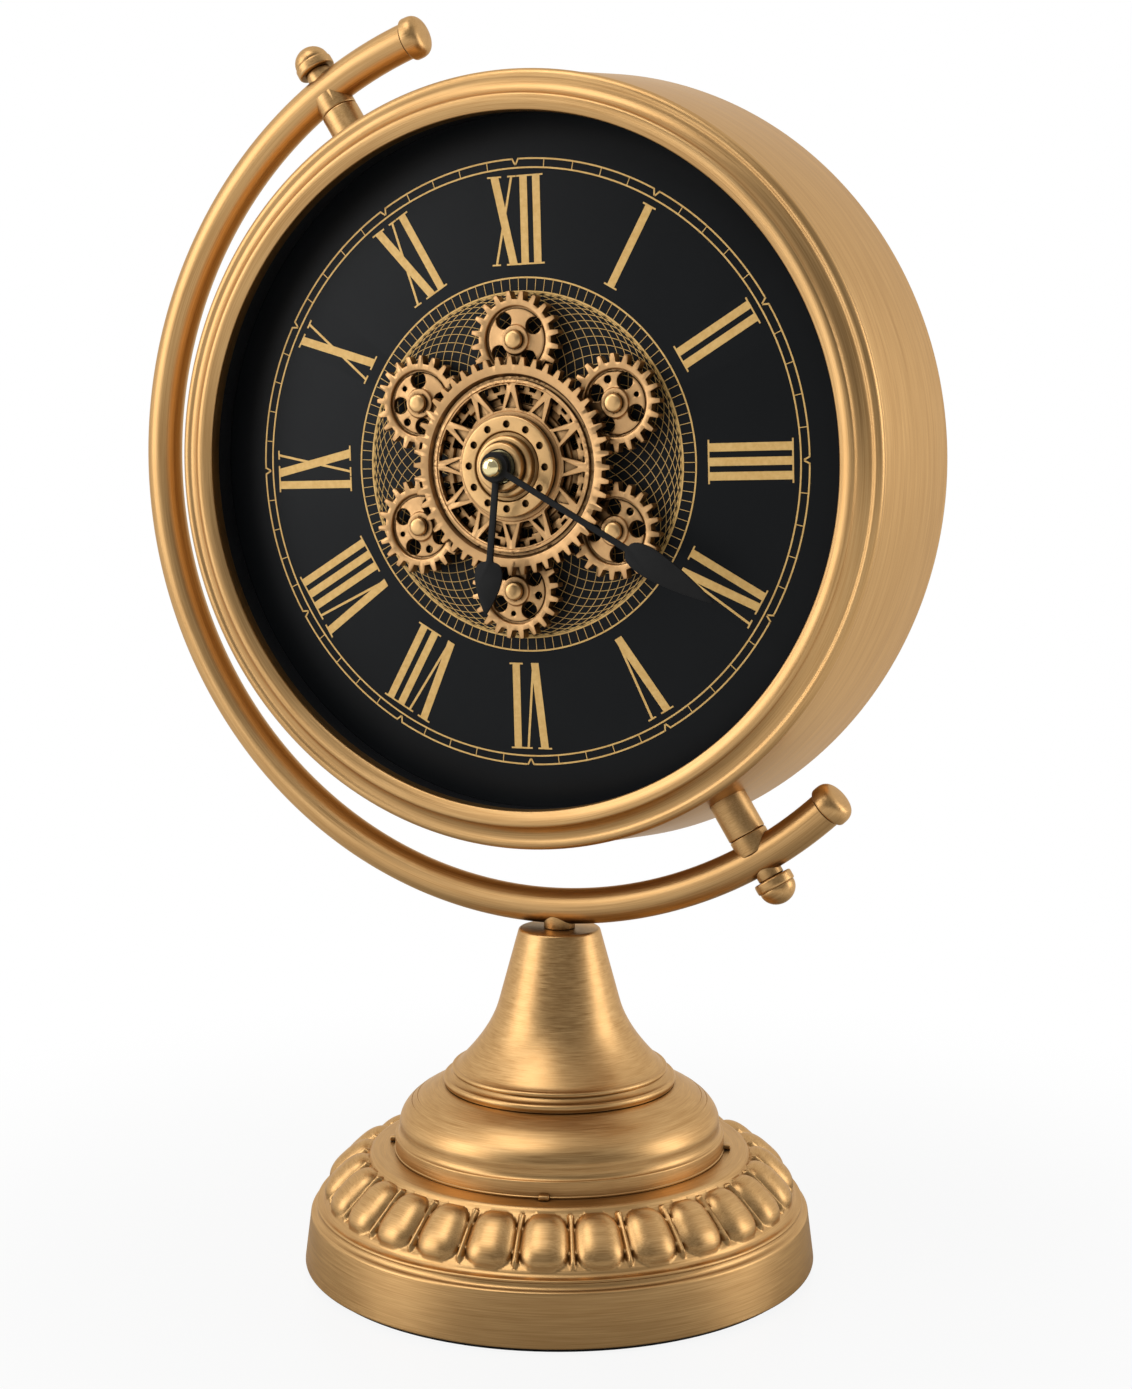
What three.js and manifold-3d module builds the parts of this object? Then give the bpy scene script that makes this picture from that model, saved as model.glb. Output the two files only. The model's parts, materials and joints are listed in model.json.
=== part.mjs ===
// Table clock on a globe-style stand: a drum case with open gears turns on two pivots in an arc.
// Millimetres, +Z up, origin at the centre of the foot on the table, dial facing -Y.
import * as THREE from 'three';
import { mergeVertices } from 'three/addons/utils/BufferGeometryUtils.js';
import Module from 'manifold-3d';

const wasm = await Module();
wasm.setup();

// Gaps between neighbouring pieces
const SEAT_GAP = 0.05; // flat face resting on flat face
const FIT_GAP = 0.15; // spigot, hub or rod held fast in its hole
const RUN_GAP = 0.3; // anything that turns, slides or is cut to its neighbour

// Facets of round pieces
const LARGE_SIDES = 48;
const MEDIUM_SIDES = 28;
const SMALL_SIDES = 12;
const TUBE_SIDES = 10;
const STUD_SIDES = 8;
const HEX_SIDES = 6;
const ARC_STEPS = 32;

// Foot pad and base rim, from the foot inwards
const RIM_FOOT_RADIUS = 82.4;
const PAD_INSET = 2.4;
const PAD_THICK = 1.5;
const BAND_TAPER = 2.1;
const BAND_HEIGHT = 16.4;
const BEAD_INSET = 1.7;
const BEAD_HEIGHT = 4.6;
const LOBE_FOOT_INSET = 3.2;
const LOBE_RUN = 13.8;
const LOBE_COUNT = 27;
const LOBE_TURN = -2; // degrees from +X to the middle of the first lobe
const LOBE_GAP = 3.2;
const LOBE_RISE = 4.4;
const LOBE_INSET = 0.6;
const LOBE_CROWN = 0.75;
const COLLAR_INSET = 1.8;
const COLLAR_STEP = 1.6;
const RIM_HEIGHT = 35.4;
const RIM_WALL = 2.6;

// Ballast, rod, washer and nut
const BALLAST_THICK = 10;
const BALLAST_MARGIN = 3;
const LEDGE_WIDTH = 3.4;
const ROD_RADIUS = 2.4;
const WASHER_RADIUS = 8;
const WASHER_THICK = 1.5;
const NUT_RADIUS = 4.9;
const NUT_HEIGHT = 3.6;
const ROD_TAIL = 1;

// Dome and neck, each stepped in from what it stands on
const DOME_INSET = 6.7;
const DOME_SEAT = 5.1;
const DOME_EDGE_HEIGHT = 5.2;
const DOME_HEIGHT = 21.6;
const DOME_BULGE_INSET = 1.7;
const DOME_SHOULDER_INSET = 5.6;
const DOME_SHOULDER_DROP = 2.2;
const DOME_TOP_INSET = 7.4;
const DOME_WALL = 2;
const NECK_BEAD_INSET = 0.9;
const NECK_BEAD_HEIGHT = 3;
const NECK_STEP_INSET = 2.7;
const NECK_STEP_HEIGHT = 3.2;
const NECK_WAIST_RADIUS = 19.5;
const NECK_WAIST_HEIGHT = 26.4;
const NECK_TOP_RADIUS = 13;
const NECK_HEIGHT = 50.15;
const NECK_WALL = 2.2;

// Arc, its seat, anchor and end caps
const ARC_STANDOFF = 16.8; // from the case's widest part to the middle of the tube
const ARC_OFFSET = 7; // the arc's centre lies this far to -X of the base axis
const ARC_LIFT = 1.4;
const TUBE_RADIUS = 5.7;
const TUBE_WALL = 1.3;
const ARC_UPPER_END = 19; // degrees from straight up, towards -X
const ARC_LOWER_END = 137; // degrees from straight up, towards +X
const SEAT_RADIUS = 5;
const ANCHOR_RADIUS = 3.6;
const ANCHOR_LENGTH = 12;
const CAP_RADIUS = 6.4;
const CAP_LENGTH = 6.2;
const CAP_SPIGOT_RADIUS = 3.7;
const CAP_SPIGOT_LENGTH = 8;

// Pivots
const PIVOT_LEAN = 32.2; // degrees from straight up, upper end towards -X
const STUB_RADIUS = 6.1;
const SADDLE_HEIGHT = 2.1;
const BOLT_RADIUS = 2.4;
const BOLT_HEAD_RADIUS = 5;
const BOLT_HEAD_HEIGHT = 3.6;
const BUSH_RADIUS = 3.7;
const BUSH_HEIGHT = 1.4;
const ACORN_RADIUS = 6.2;
const ACORN_COLLAR = 3.4;
const ACORN_DOME_RADIUS = 5.3;
const ACORN_DOME = 4.8;

// Case: the pivots lie in its plane y = 0
const CASE_FRONT_RADIUS = 118.4;
const CASE_FLARE = 5.4;
const BEZEL_OVERHANG = 0.6;
const BEZEL_WIDTH = 12.6;
const BEZEL_LIP_WIDTH = 4.4;
const BEZEL_LIP_FALL = 1.1;
const BEZEL_ROLL_WIDTH = 4;
const BEZEL_ROLL_DROP = 3;
const FRONT_REACH = 25;
const BEZEL_RING_DEPTH = 6.4;
const BEZEL_LIP_DEPTH = 5.6;
const SKIRT_WALL = 2;
const SKIRT_DEPTH = 10.4;
const CASE_REACH = 30;
const CASE_WALL = 1.5;
const FLANGE_WIDTH = 12.5;
const REAR_ROUND = 2.2;

// Dial and its well
const DIAL_RECESS = 13.6;
const DIAL_THICK = 1.2;
const DIAL_LAP = 1.9;
const WELL_WALL = 1.4;
const WELL_FLANGE = 1.15;

// Open gears in front of the dial
const GEAR_MODULE = 1.375;
const REAR_TEETH = 36;
const PLANET_TEETH = 20;
const PLANET_COUNT = 6;
const TOOTH_ADDENDUM = 0.8;
const TOOTH_DEDENDUM = 1.1;
const TOOTH_TIP = 0.24;
const TOOTH_ROOT = 0.58;
const PLANET_STANDOFF = 2.4;
const PLANET_THICK = 3.6;
const PLANET_HOLES = 4;
const PLANET_HOLE_RADIUS = 2.6;
const PLANET_HOLE_ORBIT = 7.4;
const FRONT_GEAR_GAP = 0.6;
const FRONT_GEAR_TEETH = 48;
const FRONT_GEAR_RADIUS = 33.4;
const FRONT_TOOTH_HEIGHT = 2.5;
const FRONT_GEAR_THICK = 3;
const WINDOW_COUNT = 12;
const WINDOW_OUTER = 25.6;
const WINDOW_INNER = 17.6;
const WINDOW_BAR = 3.4;
const FLANGE_DISC_RADIUS = 15.6;
const FLANGE_DISC_THICK = 2.2;
const BOSS_RADIUS = 9.4;
const BOSS_HEIGHT = 2.4;
const NOSE_RADIUS = 7.4;
const NOSE_HEIGHT = 2.8;
const STUD_RADIUS = 2;
const STUD_SHOULDER = 3.2;
const STUD_HEAD_RADIUS = 2.9;
const STUD_HEAD_HEIGHT = 1.9;
const BRIDGE_RADIUS = 46;
const BRIDGE_THICK = 2;

// Hollow shaft, drive wheel and motor
const GEAR_TUBE_RADIUS = 5.2;
const GEAR_TUBE_WALL = 1.2;
const DRIVE_MODULE = 1.05;
const DRIVE_TEETH = 30;
const PINION_TEETH = 10;
const DRIVE_THICK = 2.5;
const DRIVE_GAP = 0.8;
const MOTOR_RADIUS = 8;
const MOTOR_LENGTH = 7.6;
const MOTOR_SHAFT_RADIUS = 1;
const MOTOR_SHAFT_DEPTH = 3;
const BOX_WIDTH = 48;
const BOX_HEIGHT = 66;
const BOX_WALL = 1.6;

// Quartz movement, hands and setting knob
const MOVEMENT_SIDE = 56;
const MOVEMENT_DEPTH = 16;
const CENTRE_BUSH_RADIUS = 3.6;
const CENTRE_BUSH_WALL = 0.7;
const ARBOR_DEPTH = 6;
const PIPE_RADIUS = 2.5;
const PIPE_WALL = 0.9;
const ARBOR_RADIUS = 1.2;
const HAND_THICK = 0.9;
const HAND_GAP = 0.9;
const COLLET_RADIUS = 4.6;
const HOUR_LENGTH = 45;
const HOUR_SPADE = 29;
const HOUR_WIDTH = 9;
const HOUR_STEM = 2.1;
const HOUR_ANGLE = 185; // degrees clockwise from twelve
const MINUTE_LENGTH = 81;
const MINUTE_SPADE = 50;
const MINUTE_WIDTH = 8.5;
const MINUTE_STEM = 1.9;
const MINUTE_ANGLE = 118.5;
const CAP_NUT_RADIUS = 3.1;
const CAP_NUT_HEIGHT = 3.4;
const ARBOR_TAIL = 2;
const KNOB_RADIUS = 6;
const KNOB_HEIGHT = 4;
const KNOB_STEM_RADIUS = 1.5;
const KNOB_STEM = 4;
const KNOB_X = 12;
const KNOB_Z = -14;

// Batteries, tray, back cover, door, switch and screws
const CELL_RADIUS = 7.1;
const CELL_LENGTH = 49;
const CELL_TIP_RADIUS = 2.6;
const CELL_TIP = 1.2;
const CELL_PLAY = 1.5;
const CLOCK_CELL_Z = 17;
const CLOCK_CELL_PROUD = 2.8;
const TRAY_WALL = 1.5;
const TRAY_Z = -47.5;
const TRAY_DEPTH = 18;
const COVER_INSET = 4.5;
const COVER_THICK = 1.8;
const HATCH_LAP = 1.2;
const DOOR_LAP = 4.5;
const DOOR_THICK = 1.6;
const DOOR_TRAVEL = 58;
const GRIP_WIDTH = 4;
const GRIP_HEIGHT = 0.8;
const RAIL_WIDTH = 2.5;
const RAIL_LIP = 1.2;
const RAIL_LAP = 1.5;
const SWITCH_X = -52;
const SWITCH_Z = -40;
const SWITCH_WIDTH = 9;
const SWITCH_HEIGHT = 18;
const SWITCH_DEPTH = 7;
const SLIDER_WIDTH = 3;
const SLIDER_HEIGHT = 5;
const SLIDER_TRAVEL = 4;
const SLIDER_CAP = 1.4;
const SLIDER_CAP_LAP = 1;
const SCREW_COUNT = 3;
const SCREW_RADIUS = 1.4;
const SCREW_LENGTH = 7;
const SCREW_HEAD_RADIUS = 3;
const SCREW_HEAD_HEIGHT = 1.9;
const SCREW_INSET = 4.5;

// Finishes
const FINISHES = {
  antiqueGold: { color: 0xb08748, roughness: 0.36, metalness: 1 },
  bronze: { color: 0x8d683c, roughness: 0.42, metalness: 1 },
  brass: { color: 0xd6b562, roughness: 0.22, metalness: 1 },
  blackDial: { color: 0x1d1f21, roughness: 0.7, metalness: 0 },
  blackHand: { color: 0x121212, roughness: 0.6, metalness: 0.2 },
  blackPlastic: { color: 0x202122, roughness: 0.55, metalness: 0 },
  steel: { color: 0x9a9da0, roughness: 0.35, metalness: 1 },
  castIron: { color: 0x3c3b39, roughness: 0.75, metalness: 0.8 },
  rubber: { color: 0x161616, roughness: 0.9, metalness: 0 },
  cellWrap: { color: 0x4a5560, roughness: 0.4, metalness: 0.1 },
};

// Radii of the stand
const bandTopRadius = RIM_FOOT_RADIUS - BAND_TAPER;
const beadRadius = bandTopRadius - BEAD_INSET;
const lobeFootRadius = beadRadius - LOBE_FOOT_INSET;
const lobeHeadRadius = lobeFootRadius - LOBE_RUN;
const collarRadius = lobeHeadRadius - COLLAR_INSET;
const rimInside = bandTopRadius - RIM_WALL;
const domeRadius = collarRadius - DOME_INSET;
const bulgeRadius = domeRadius - DOME_BULGE_INSET;
const shoulderRadius = bulgeRadius - DOME_SHOULDER_INSET;
const domeTopRadius = shoulderRadius - DOME_TOP_INSET;
const neckBeadRadius = domeTopRadius - NECK_BEAD_INSET;
const neckStepRadius = neckBeadRadius - NECK_STEP_INSET;

// Radii of the case and the arc
const caseRearRadius = CASE_FRONT_RADIUS + CASE_FLARE;
const bezelRadius = CASE_FRONT_RADIUS + BEZEL_OVERHANG;
const lipRadius = bezelRadius - BEZEL_WIDTH;
const coverRadius = caseRearRadius - COVER_INSET;
const arcRadius = caseRearRadius + ARC_STANDOFF;

// Heights of the stand
const rimBottom = PAD_THICK + SEAT_GAP;
const bandTop = rimBottom + BAND_HEIGHT;
const lobeFoot = bandTop + BEAD_HEIGHT;
const collarTop = rimBottom + RIM_HEIGHT;
const lobeHead = collarTop - COLLAR_STEP;
const ledgeZ = rimBottom + BALLAST_THICK + SEAT_GAP;
const domeBottom = collarTop + SEAT_GAP;
const neckBottom = domeBottom + DOME_HEIGHT + SEAT_GAP;
const neckTop = neckBottom + NECK_HEIGHT;
const arcCentreZ = neckTop + ARC_LIFT + TUBE_RADIUS + Math.sqrt(arcRadius ** 2 - ARC_OFFSET ** 2);
const tubeBore = TUBE_RADIUS - TUBE_WALL;

// Depths of the case, measured along Y from the pivot plane
const bezelFront = -FRONT_REACH;
const bezelShoulder = bezelFront + BEZEL_RING_DEPTH;
const lipBack = bezelFront + BEZEL_LIP_DEPTH;
const caseFront = bezelShoulder + SEAT_GAP;
const skirtRadius = CASE_FRONT_RADIUS - CASE_WALL - FIT_GAP;
const dialFront = bezelFront + DIAL_RECESS;
const dialBack = dialFront + DIAL_THICK;
const dialRadius = skirtRadius - SKIRT_WALL - FIT_GAP;
const bridgeFront = dialBack + SEAT_GAP;
const bridgeBack = bridgeFront + BRIDGE_THICK;
const driveFront = bridgeBack + DRIVE_GAP;
const driveBack = driveFront + DRIVE_THICK;
const motorFront = driveBack + DRIVE_GAP;
const boxFloor = motorFront + MOTOR_LENGTH + SEAT_GAP;
const boxBack = boxFloor + BOX_WALL;
const movementFront = boxBack + SEAT_GAP;
const movementBack = movementFront + MOVEMENT_DEPTH;
const coverFront = CASE_REACH + SEAT_GAP;
const coverBack = coverFront + COVER_THICK;

// Stand-off of each open gear from the dial, towards the viewer
const planetBack = dialFront - PLANET_STANDOFF;
const planetFront = planetBack - PLANET_THICK;
const frontGearBack = planetFront - FRONT_GEAR_GAP;
const frontGearFront = frontGearBack - FRONT_GEAR_THICK;
const flangeBack = frontGearFront - SEAT_GAP;
const noseFront = flangeBack - FLANGE_DISC_THICK - BOSS_HEIGHT - NOSE_HEIGHT;
const hourBack = noseFront - HAND_GAP;
const minuteBack = hourBack - HAND_THICK - HAND_GAP;
const capBack = minuteBack - HAND_THICK - SEAT_GAP;
const planetOrbit = ((REAR_TEETH + PLANET_TEETH) * GEAR_MODULE) / 2;
const driveCentres = ((DRIVE_TEETH + PINION_TEETH) * DRIVE_MODULE) / 2;

// A closed solid from a geometry: shared vertices merged, flat triangles dropped, faces outwards
function solid(geometry) {
  const bare = geometry.clone();
  bare.deleteAttribute('normal');
  bare.deleteAttribute('uv');
  const merged = mergeVertices(bare);
  const place = merged.attributes.position;
  const corner = [new THREE.Vector3(), new THREE.Vector3(), new THREE.Vector3()];
  const triangles = [];
  let volume = 0;
  for (let i = 0; i < merged.index.count; i += 3) {
    const ids = [0, 1, 2].map((k) => merged.index.getX(i + k));
    if (new Set(ids).size < 3) {
      continue;
    }
    triangles.push(ids);
    ids.forEach((id, k) => corner[k].fromBufferAttribute(place, id));
    volume += corner[0].dot(corner[1].clone().cross(corner[2]));
  }
  const outward = volume > 0 ? triangles : triangles.map((ids) => ids.reverse());
  const vertProperties = new Float32Array(place.array);
  const triVerts = new Uint32Array(outward.flat());
  return new wasm.Manifold(new wasm.Mesh({ numProp: 3, vertProperties, triVerts }));
}

// The geometry of a solid
function surface(body) {
  const mesh = body.getMesh();
  const geometry = new THREE.BufferGeometry();
  geometry.setAttribute('position', new THREE.BufferAttribute(new Float32Array(mesh.vertProperties), 3));
  geometry.setIndex(new THREE.BufferAttribute(new Uint32Array(mesh.triVerts), 1));
  return geometry;
}

// A body turned about the Y axis from [radius, y] points that close on the axis or on themselves
function turned(points, sides = SMALL_SIDES) {
  const profile = points.map(([radius, along]) => new THREE.Vector2(radius, along));
  const onAxis = points[0][0] === 0 && points[points.length - 1][0] === 0;
  if (!onAxis) {
    profile.push(profile[0].clone());
  }
  return new THREE.LatheGeometry(profile, sides);
}

// The same, turned about the Z axis
function upright(points, sides = SMALL_SIDES) {
  return turned(points, sides).rotateX(Math.PI / 2);
}

// A plain pin of [radius] between two places on the Y axis, or on the Z axis
function pin(radius, from, to, sides = SMALL_SIDES) {
  const [low, high] = [Math.min(from, to), Math.max(from, to)];
  return turned([[0, low], [radius, low], [radius, high], [0, high]], sides);
}
function uprightPin(radius, from, to, sides = SMALL_SIDES) {
  return pin(radius, from, to, sides).rotateX(Math.PI / 2);
}

// A box given by its lowest and highest corners
function block([x0, y0, z0], [x1, y1, z1]) {
  const box = new THREE.BoxGeometry(x1 - x0, y1 - y0, z1 - z0);
  return box.translate((x0 + x1) / 2, (y0 + y1) / 2, (z0 + z1) / 2);
}

// A flat shape in the dial's plane, standing from back towards the viewer
function plate(shape, back, thickness, curveSegments = 4) {
  const flat = new THREE.ExtrudeGeometry(shape, { depth: thickness, bevelEnabled: false, curveSegments });
  return flat.rotateX(Math.PI / 2).translate(0, back, 0);
}

function circlePath(radius, x = 0, y = 0, sides = SMALL_SIDES) {
  const path = new THREE.Path();
  const turns = Array.from({ length: sides }, (_, i) => (-2 * Math.PI * i) / sides);
  const corner = (angle) => new THREE.Vector2(x + radius * Math.cos(angle), y + radius * Math.sin(angle));
  path.setFromPoints(turns.map(corner));
  return path;
}

function joined(first, ...others) {
  return others.reduce((body, other) => body.add(solid(other)), solid(first));
}
function cut(body, ...tools) {
  return tools.reduce((rest, tool) => rest.subtract(solid(tool)), body);
}

const finishOf = (name) => new THREE.MeshStandardMaterial({ ...FINISHES[name], flatShading: true });

// A named mesh of one body, added to its group
function piece(group, name, body, finish) {
  const mesh = new THREE.Mesh(surface(body), finishOf(finish));
  mesh.name = name;
  group.add(mesh);
  return mesh;
}

// Points of a quarter-like curve between two profile points, drawn towards a control point
function curve(from, control, to, steps) {
  const bend = new THREE.QuadraticBezierCurve(...[from, control, to].map((p) => new THREE.Vector2(...p)));
  return bend.getPoints(steps).map((p) => [p.x, p.y]);
}

// The arc's centre line about the case centre, by degrees clockwise from straight up
class ArcLine extends THREE.Curve {
  constructor(fromDegrees, toDegrees) {
    super();
    this.from = THREE.MathUtils.degToRad(fromDegrees);
    this.span = THREE.MathUtils.degToRad(toDegrees - fromDegrees);
  }

  getPoint(t, target = new THREE.Vector3()) {
    const angle = this.from + t * this.span;
    return target.set(arcRadius * Math.sin(angle), 0, arcRadius * Math.cos(angle));
  }
}

// A round bar along the arc, hollow if it has a bore
function arcBar(fromDegrees, toDegrees, radius, bore, steps) {
  const section = new THREE.Shape(circlePath(radius, 0, 0, TUBE_SIDES).getPoints().reverse());
  if (bore > 0) {
    section.holes.push(circlePath(bore, 0, 0, TUBE_SIDES));
  }
  const extrudePath = new ArcLine(fromDegrees, toDegrees);
  return new THREE.ExtrudeGeometry(section, { steps, extrudePath, bevelEnabled: false });
}

// Outline of a toothed wheel with the first tooth at twelve o'clock
function toothedShape(teeth, tipRadius, rootRadius) {
  const pitch = (2 * Math.PI) / teeth;
  const corners = [
    [rootRadius, -TOOTH_ROOT],
    [tipRadius, -TOOTH_TIP],
    [tipRadius, TOOTH_TIP],
    [rootRadius, TOOTH_ROOT],
  ];
  const points = [];
  for (let i = 0; i < teeth; i += 1) {
    for (const [radius, width] of corners) {
      const angle = (i + width / 2) * pitch;
      points.push(new THREE.Vector2(radius * Math.sin(angle), radius * Math.cos(angle)));
    }
  }
  return new THREE.Shape(points.reverse());
}

function gearShape(teeth, module) {
  const pitchRadius = (teeth * module) / 2;
  return toothedShape(teeth, pitchRadius + TOOTH_ADDENDUM * module, pitchRadius - TOOTH_DEDENDUM * module);
}

const clock = new THREE.Group();
const stand = new THREE.Group();
const arc = new THREE.Group();
const clockCase = new THREE.Group();
arc.position.set(-ARC_OFFSET, 0, arcCentreZ);
clockCase.position.copy(arc.position);
clock.add(stand, arc, clockCase);

// Foot pad, and the rim with its band, bead, lobes and collar
piece(stand, 'foot_pad', solid(uprightPin(RIM_FOOT_RADIUS - PAD_INSET, 0, PAD_THICK, LARGE_SIDES)), 'rubber');

function rimBody() {
  const ledgeInside = rimInside - LEDGE_WIDTH;
  const collarHole = domeRadius - DOME_SEAT;
  const outer = [
    [RIM_FOOT_RADIUS, rimBottom],
    [bandTopRadius, bandTop],
    [beadRadius, bandTop + BEAD_HEIGHT / 3],
    [lobeFootRadius, lobeFoot],
    [lobeHeadRadius, lobeHead],
    [collarRadius, collarTop],
    [collarHole, collarTop],
  ];
  const inner = [
    [collarHole, collarTop - RIM_WALL],
    [lobeHeadRadius - RIM_WALL, lobeHead - RIM_WALL],
    [lobeFootRadius - RIM_WALL, lobeFoot - RIM_WALL],
    [ledgeInside, bandTop - RIM_WALL],
    [ledgeInside, ledgeZ],
    [rimInside, ledgeZ],
    [rimInside, rimBottom],
  ];
  let body = solid(upright([...outer, ...inner], LARGE_SIDES));
  const rise = lobeHead - lobeFoot;
  const slope = Math.atan2(rise, LOBE_RUN);
  const midRadius = (lobeFootRadius + lobeHeadRadius) / 2;
  const width = (2 * Math.PI * midRadius) / LOBE_COUNT - LOBE_GAP;
  const lobeCrown = [[LOBE_CROWN, LOBE_RISE * LOBE_CROWN], [0, LOBE_RISE]];
  const firstTurn = THREE.MathUtils.degToRad(LOBE_TURN);
  for (let i = 0; i < LOBE_COUNT; i += 1) {
    const lobe = upright([[0, -RIM_WALL / 2], [1, -RIM_WALL / 2], ...lobeCrown], STUD_SIDES);
    lobe.scale(Math.hypot(rise, LOBE_RUN) / 2 - LOBE_INSET, width / 2, 1);
    lobe.rotateY(slope).translate(midRadius, 0, (lobeFoot + lobeHead) / 2);
    body = body.add(solid(lobe.rotateZ(firstTurn + (2 * Math.PI * i) / LOBE_COUNT)));
  }
  return body;
}
piece(stand, 'base_rim', rimBody(), 'antiqueGold');

// Ballast with a pocket below for washer and nut, clamped up against the rim's ledge by the rod
const pocketTop = rimBottom + ROD_TAIL + NUT_HEIGHT + WASHER_THICK + 2 * SEAT_GAP;
const ballastRadius = rimInside * Math.cos(Math.PI / LARGE_SIDES) - FIT_GAP;
piece(
  stand,
  'ballast_plate',
  cut(
    solid(uprightPin(ballastRadius, rimBottom, rimBottom + BALLAST_THICK, MEDIUM_SIDES)),
    uprightPin(WASHER_RADIUS + BALLAST_MARGIN, 0, pocketTop),
    uprightPin(ROD_RADIUS + FIT_GAP, 0, ledgeZ + BALLAST_MARGIN),
  ),
  'castIron',
);
const washerBottom = pocketTop - SEAT_GAP - WASHER_THICK;
const washerHole = uprightPin(ROD_RADIUS + FIT_GAP, 0, ledgeZ);
const washer = uprightPin(WASHER_RADIUS, washerBottom, washerBottom + WASHER_THICK);
piece(stand, 'tie_washer', cut(solid(washer), washerHole), 'steel');
const nutTop = washerBottom - SEAT_GAP;
const nut = uprightPin(NUT_RADIUS, nutTop - NUT_HEIGHT, nutTop, HEX_SIDES);
piece(stand, 'tie_nut', cut(solid(nut), washerHole), 'steel');

// Dome: straight edge, hollow moulding, bulge and shoulder
function domeBody() {
  const edgeTop = domeBottom + DOME_EDGE_HEIGHT;
  const top = domeBottom + DOME_HEIGHT;
  const shoulder = [shoulderRadius, top - DOME_SHOULDER_DROP];
  const waist = [bulgeRadius, edgeTop + (top - edgeTop) / 4];
  const outer = [
    [domeRadius, domeBottom],
    [domeRadius, edgeTop],
    ...curve(waist, [bulgeRadius, shoulder[1] - DOME_WALL / 2], shoulder, 3),
    [domeTopRadius, top],
  ];
  const inner = outer.slice(2).reverse().map(([radius, z]) => [radius - DOME_WALL, z - DOME_WALL]);
  const hole = neckStepRadius - 3 * NECK_WALL;
  const head = [[hole, top], [hole, top - DOME_WALL]];
  const foot = [[bulgeRadius - DOME_WALL, domeBottom]];
  return solid(upright([...outer, ...head, ...inner, ...foot], MEDIUM_SIDES));
}
piece(stand, 'base_dome', domeBody(), 'antiqueGold');

// Neck: two beads, a flare and a straight taper, closed on top around the rod
function neckBody() {
  const at = (height) => neckBottom + height;
  const flareFoot = NECK_BEAD_HEIGHT + NECK_STEP_HEIGHT;
  const flareTurn = (flareFoot + NECK_WAIST_HEIGHT) / 2;
  const taper = (NECK_WAIST_RADIUS - NECK_TOP_RADIUS) / (NECK_HEIGHT - NECK_WAIST_HEIGHT);
  const control = [NECK_WAIST_RADIUS + taper * (NECK_WAIST_HEIGHT - flareTurn), at(flareTurn)];
  const beadBottom = neckBeadRadius - NECK_BEAD_HEIGHT / 4;
  const stepTop = neckStepRadius - NECK_STEP_HEIGHT / 4;
  const outer = [
    [beadBottom, at(0)],
    [neckBeadRadius, at(NECK_BEAD_HEIGHT / 3)],
    [neckBeadRadius, at((2 * NECK_BEAD_HEIGHT) / 3)],
    [beadBottom - NECK_WALL / 2, at(NECK_BEAD_HEIGHT)],
    [neckStepRadius, at(NECK_BEAD_HEIGHT + NECK_STEP_HEIGHT / 4)],
    [neckStepRadius, at(NECK_BEAD_HEIGHT + NECK_STEP_HEIGHT / 2)],
    ...curve([stepTop, at(flareFoot)], control, [NECK_WAIST_RADIUS, at(NECK_WAIST_HEIGHT)], 4),
    [NECK_TOP_RADIUS, at(NECK_HEIGHT)],
  ];
  const rodHole = ROD_RADIUS + FIT_GAP;
  const inner = [
    [rodHole, at(NECK_HEIGHT)],
    [rodHole, at(NECK_HEIGHT) - 2 * NECK_WALL],
    [NECK_TOP_RADIUS - NECK_WALL, at(NECK_HEIGHT) - 2 * NECK_WALL],
    [NECK_WAIST_RADIUS - NECK_WALL, at(NECK_WAIST_HEIGHT)],
    [stepTop - 2 * NECK_WALL, at(flareFoot) - NECK_WALL],
    [stepTop - 2 * NECK_WALL, at(0)],
  ];
  return solid(upright([...outer, ...inner], MEDIUM_SIDES));
}
piece(stand, 'neck_cone', neckBody(), 'antiqueGold');

// Arc: a bent tube with cross holes for the rod and the two pivot bolts
const pivotTurn = new THREE.Matrix4().makeRotationY(THREE.MathUtils.degToRad(-PIVOT_LEAN));
const boltHole = (gap) => {
  const drill = uprightPin(BOLT_RADIUS + gap, -2 * arcRadius, 2 * arcRadius, TUBE_SIDES);
  return drill.applyMatrix4(pivotTurn);
};
const rodHoleInArc = uprightPin(ROD_RADIUS + FIT_GAP, -2 * arcRadius, -arcRadius);
rodHoleInArc.translate(ARC_OFFSET, 0, 0);
const arcTube = arcBar(-ARC_UPPER_END, ARC_LOWER_END - 360, TUBE_RADIUS, tubeBore, ARC_STEPS);
piece(arc, 'arc_tube', cut(solid(arcTube), boltHole(RUN_GAP), rodHoleInArc), 'antiqueGold');

// Anchor slug in the tube above the neck, and the rod that is screwed into it
const seatLean = Math.asin(ARC_OFFSET / arcRadius);
const tubeCentreAtRod = arcCentreZ - Math.sqrt(arcRadius ** 2 - ARC_OFFSET ** 2);
const slug = pin(ANCHOR_RADIUS, -ANCHOR_LENGTH / 2, ANCHOR_LENGTH / 2, TUBE_SIDES);
slug.rotateZ(Math.PI / 2).rotateY(-seatLean).translate(0, 0, tubeCentreAtRod);
const anchorHole = uprightPin(ROD_RADIUS + FIT_GAP, neckTop, tubeCentreAtRod + TUBE_RADIUS);
piece(stand, 'arc_anchor', cut(solid(slug), anchorHole), 'steel');
const rod = uprightPin(ROD_RADIUS, rimBottom + SEAT_GAP, tubeCentreAtRod + ROD_RADIUS);
piece(stand, 'tie_rod', solid(rod), 'steel');

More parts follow.
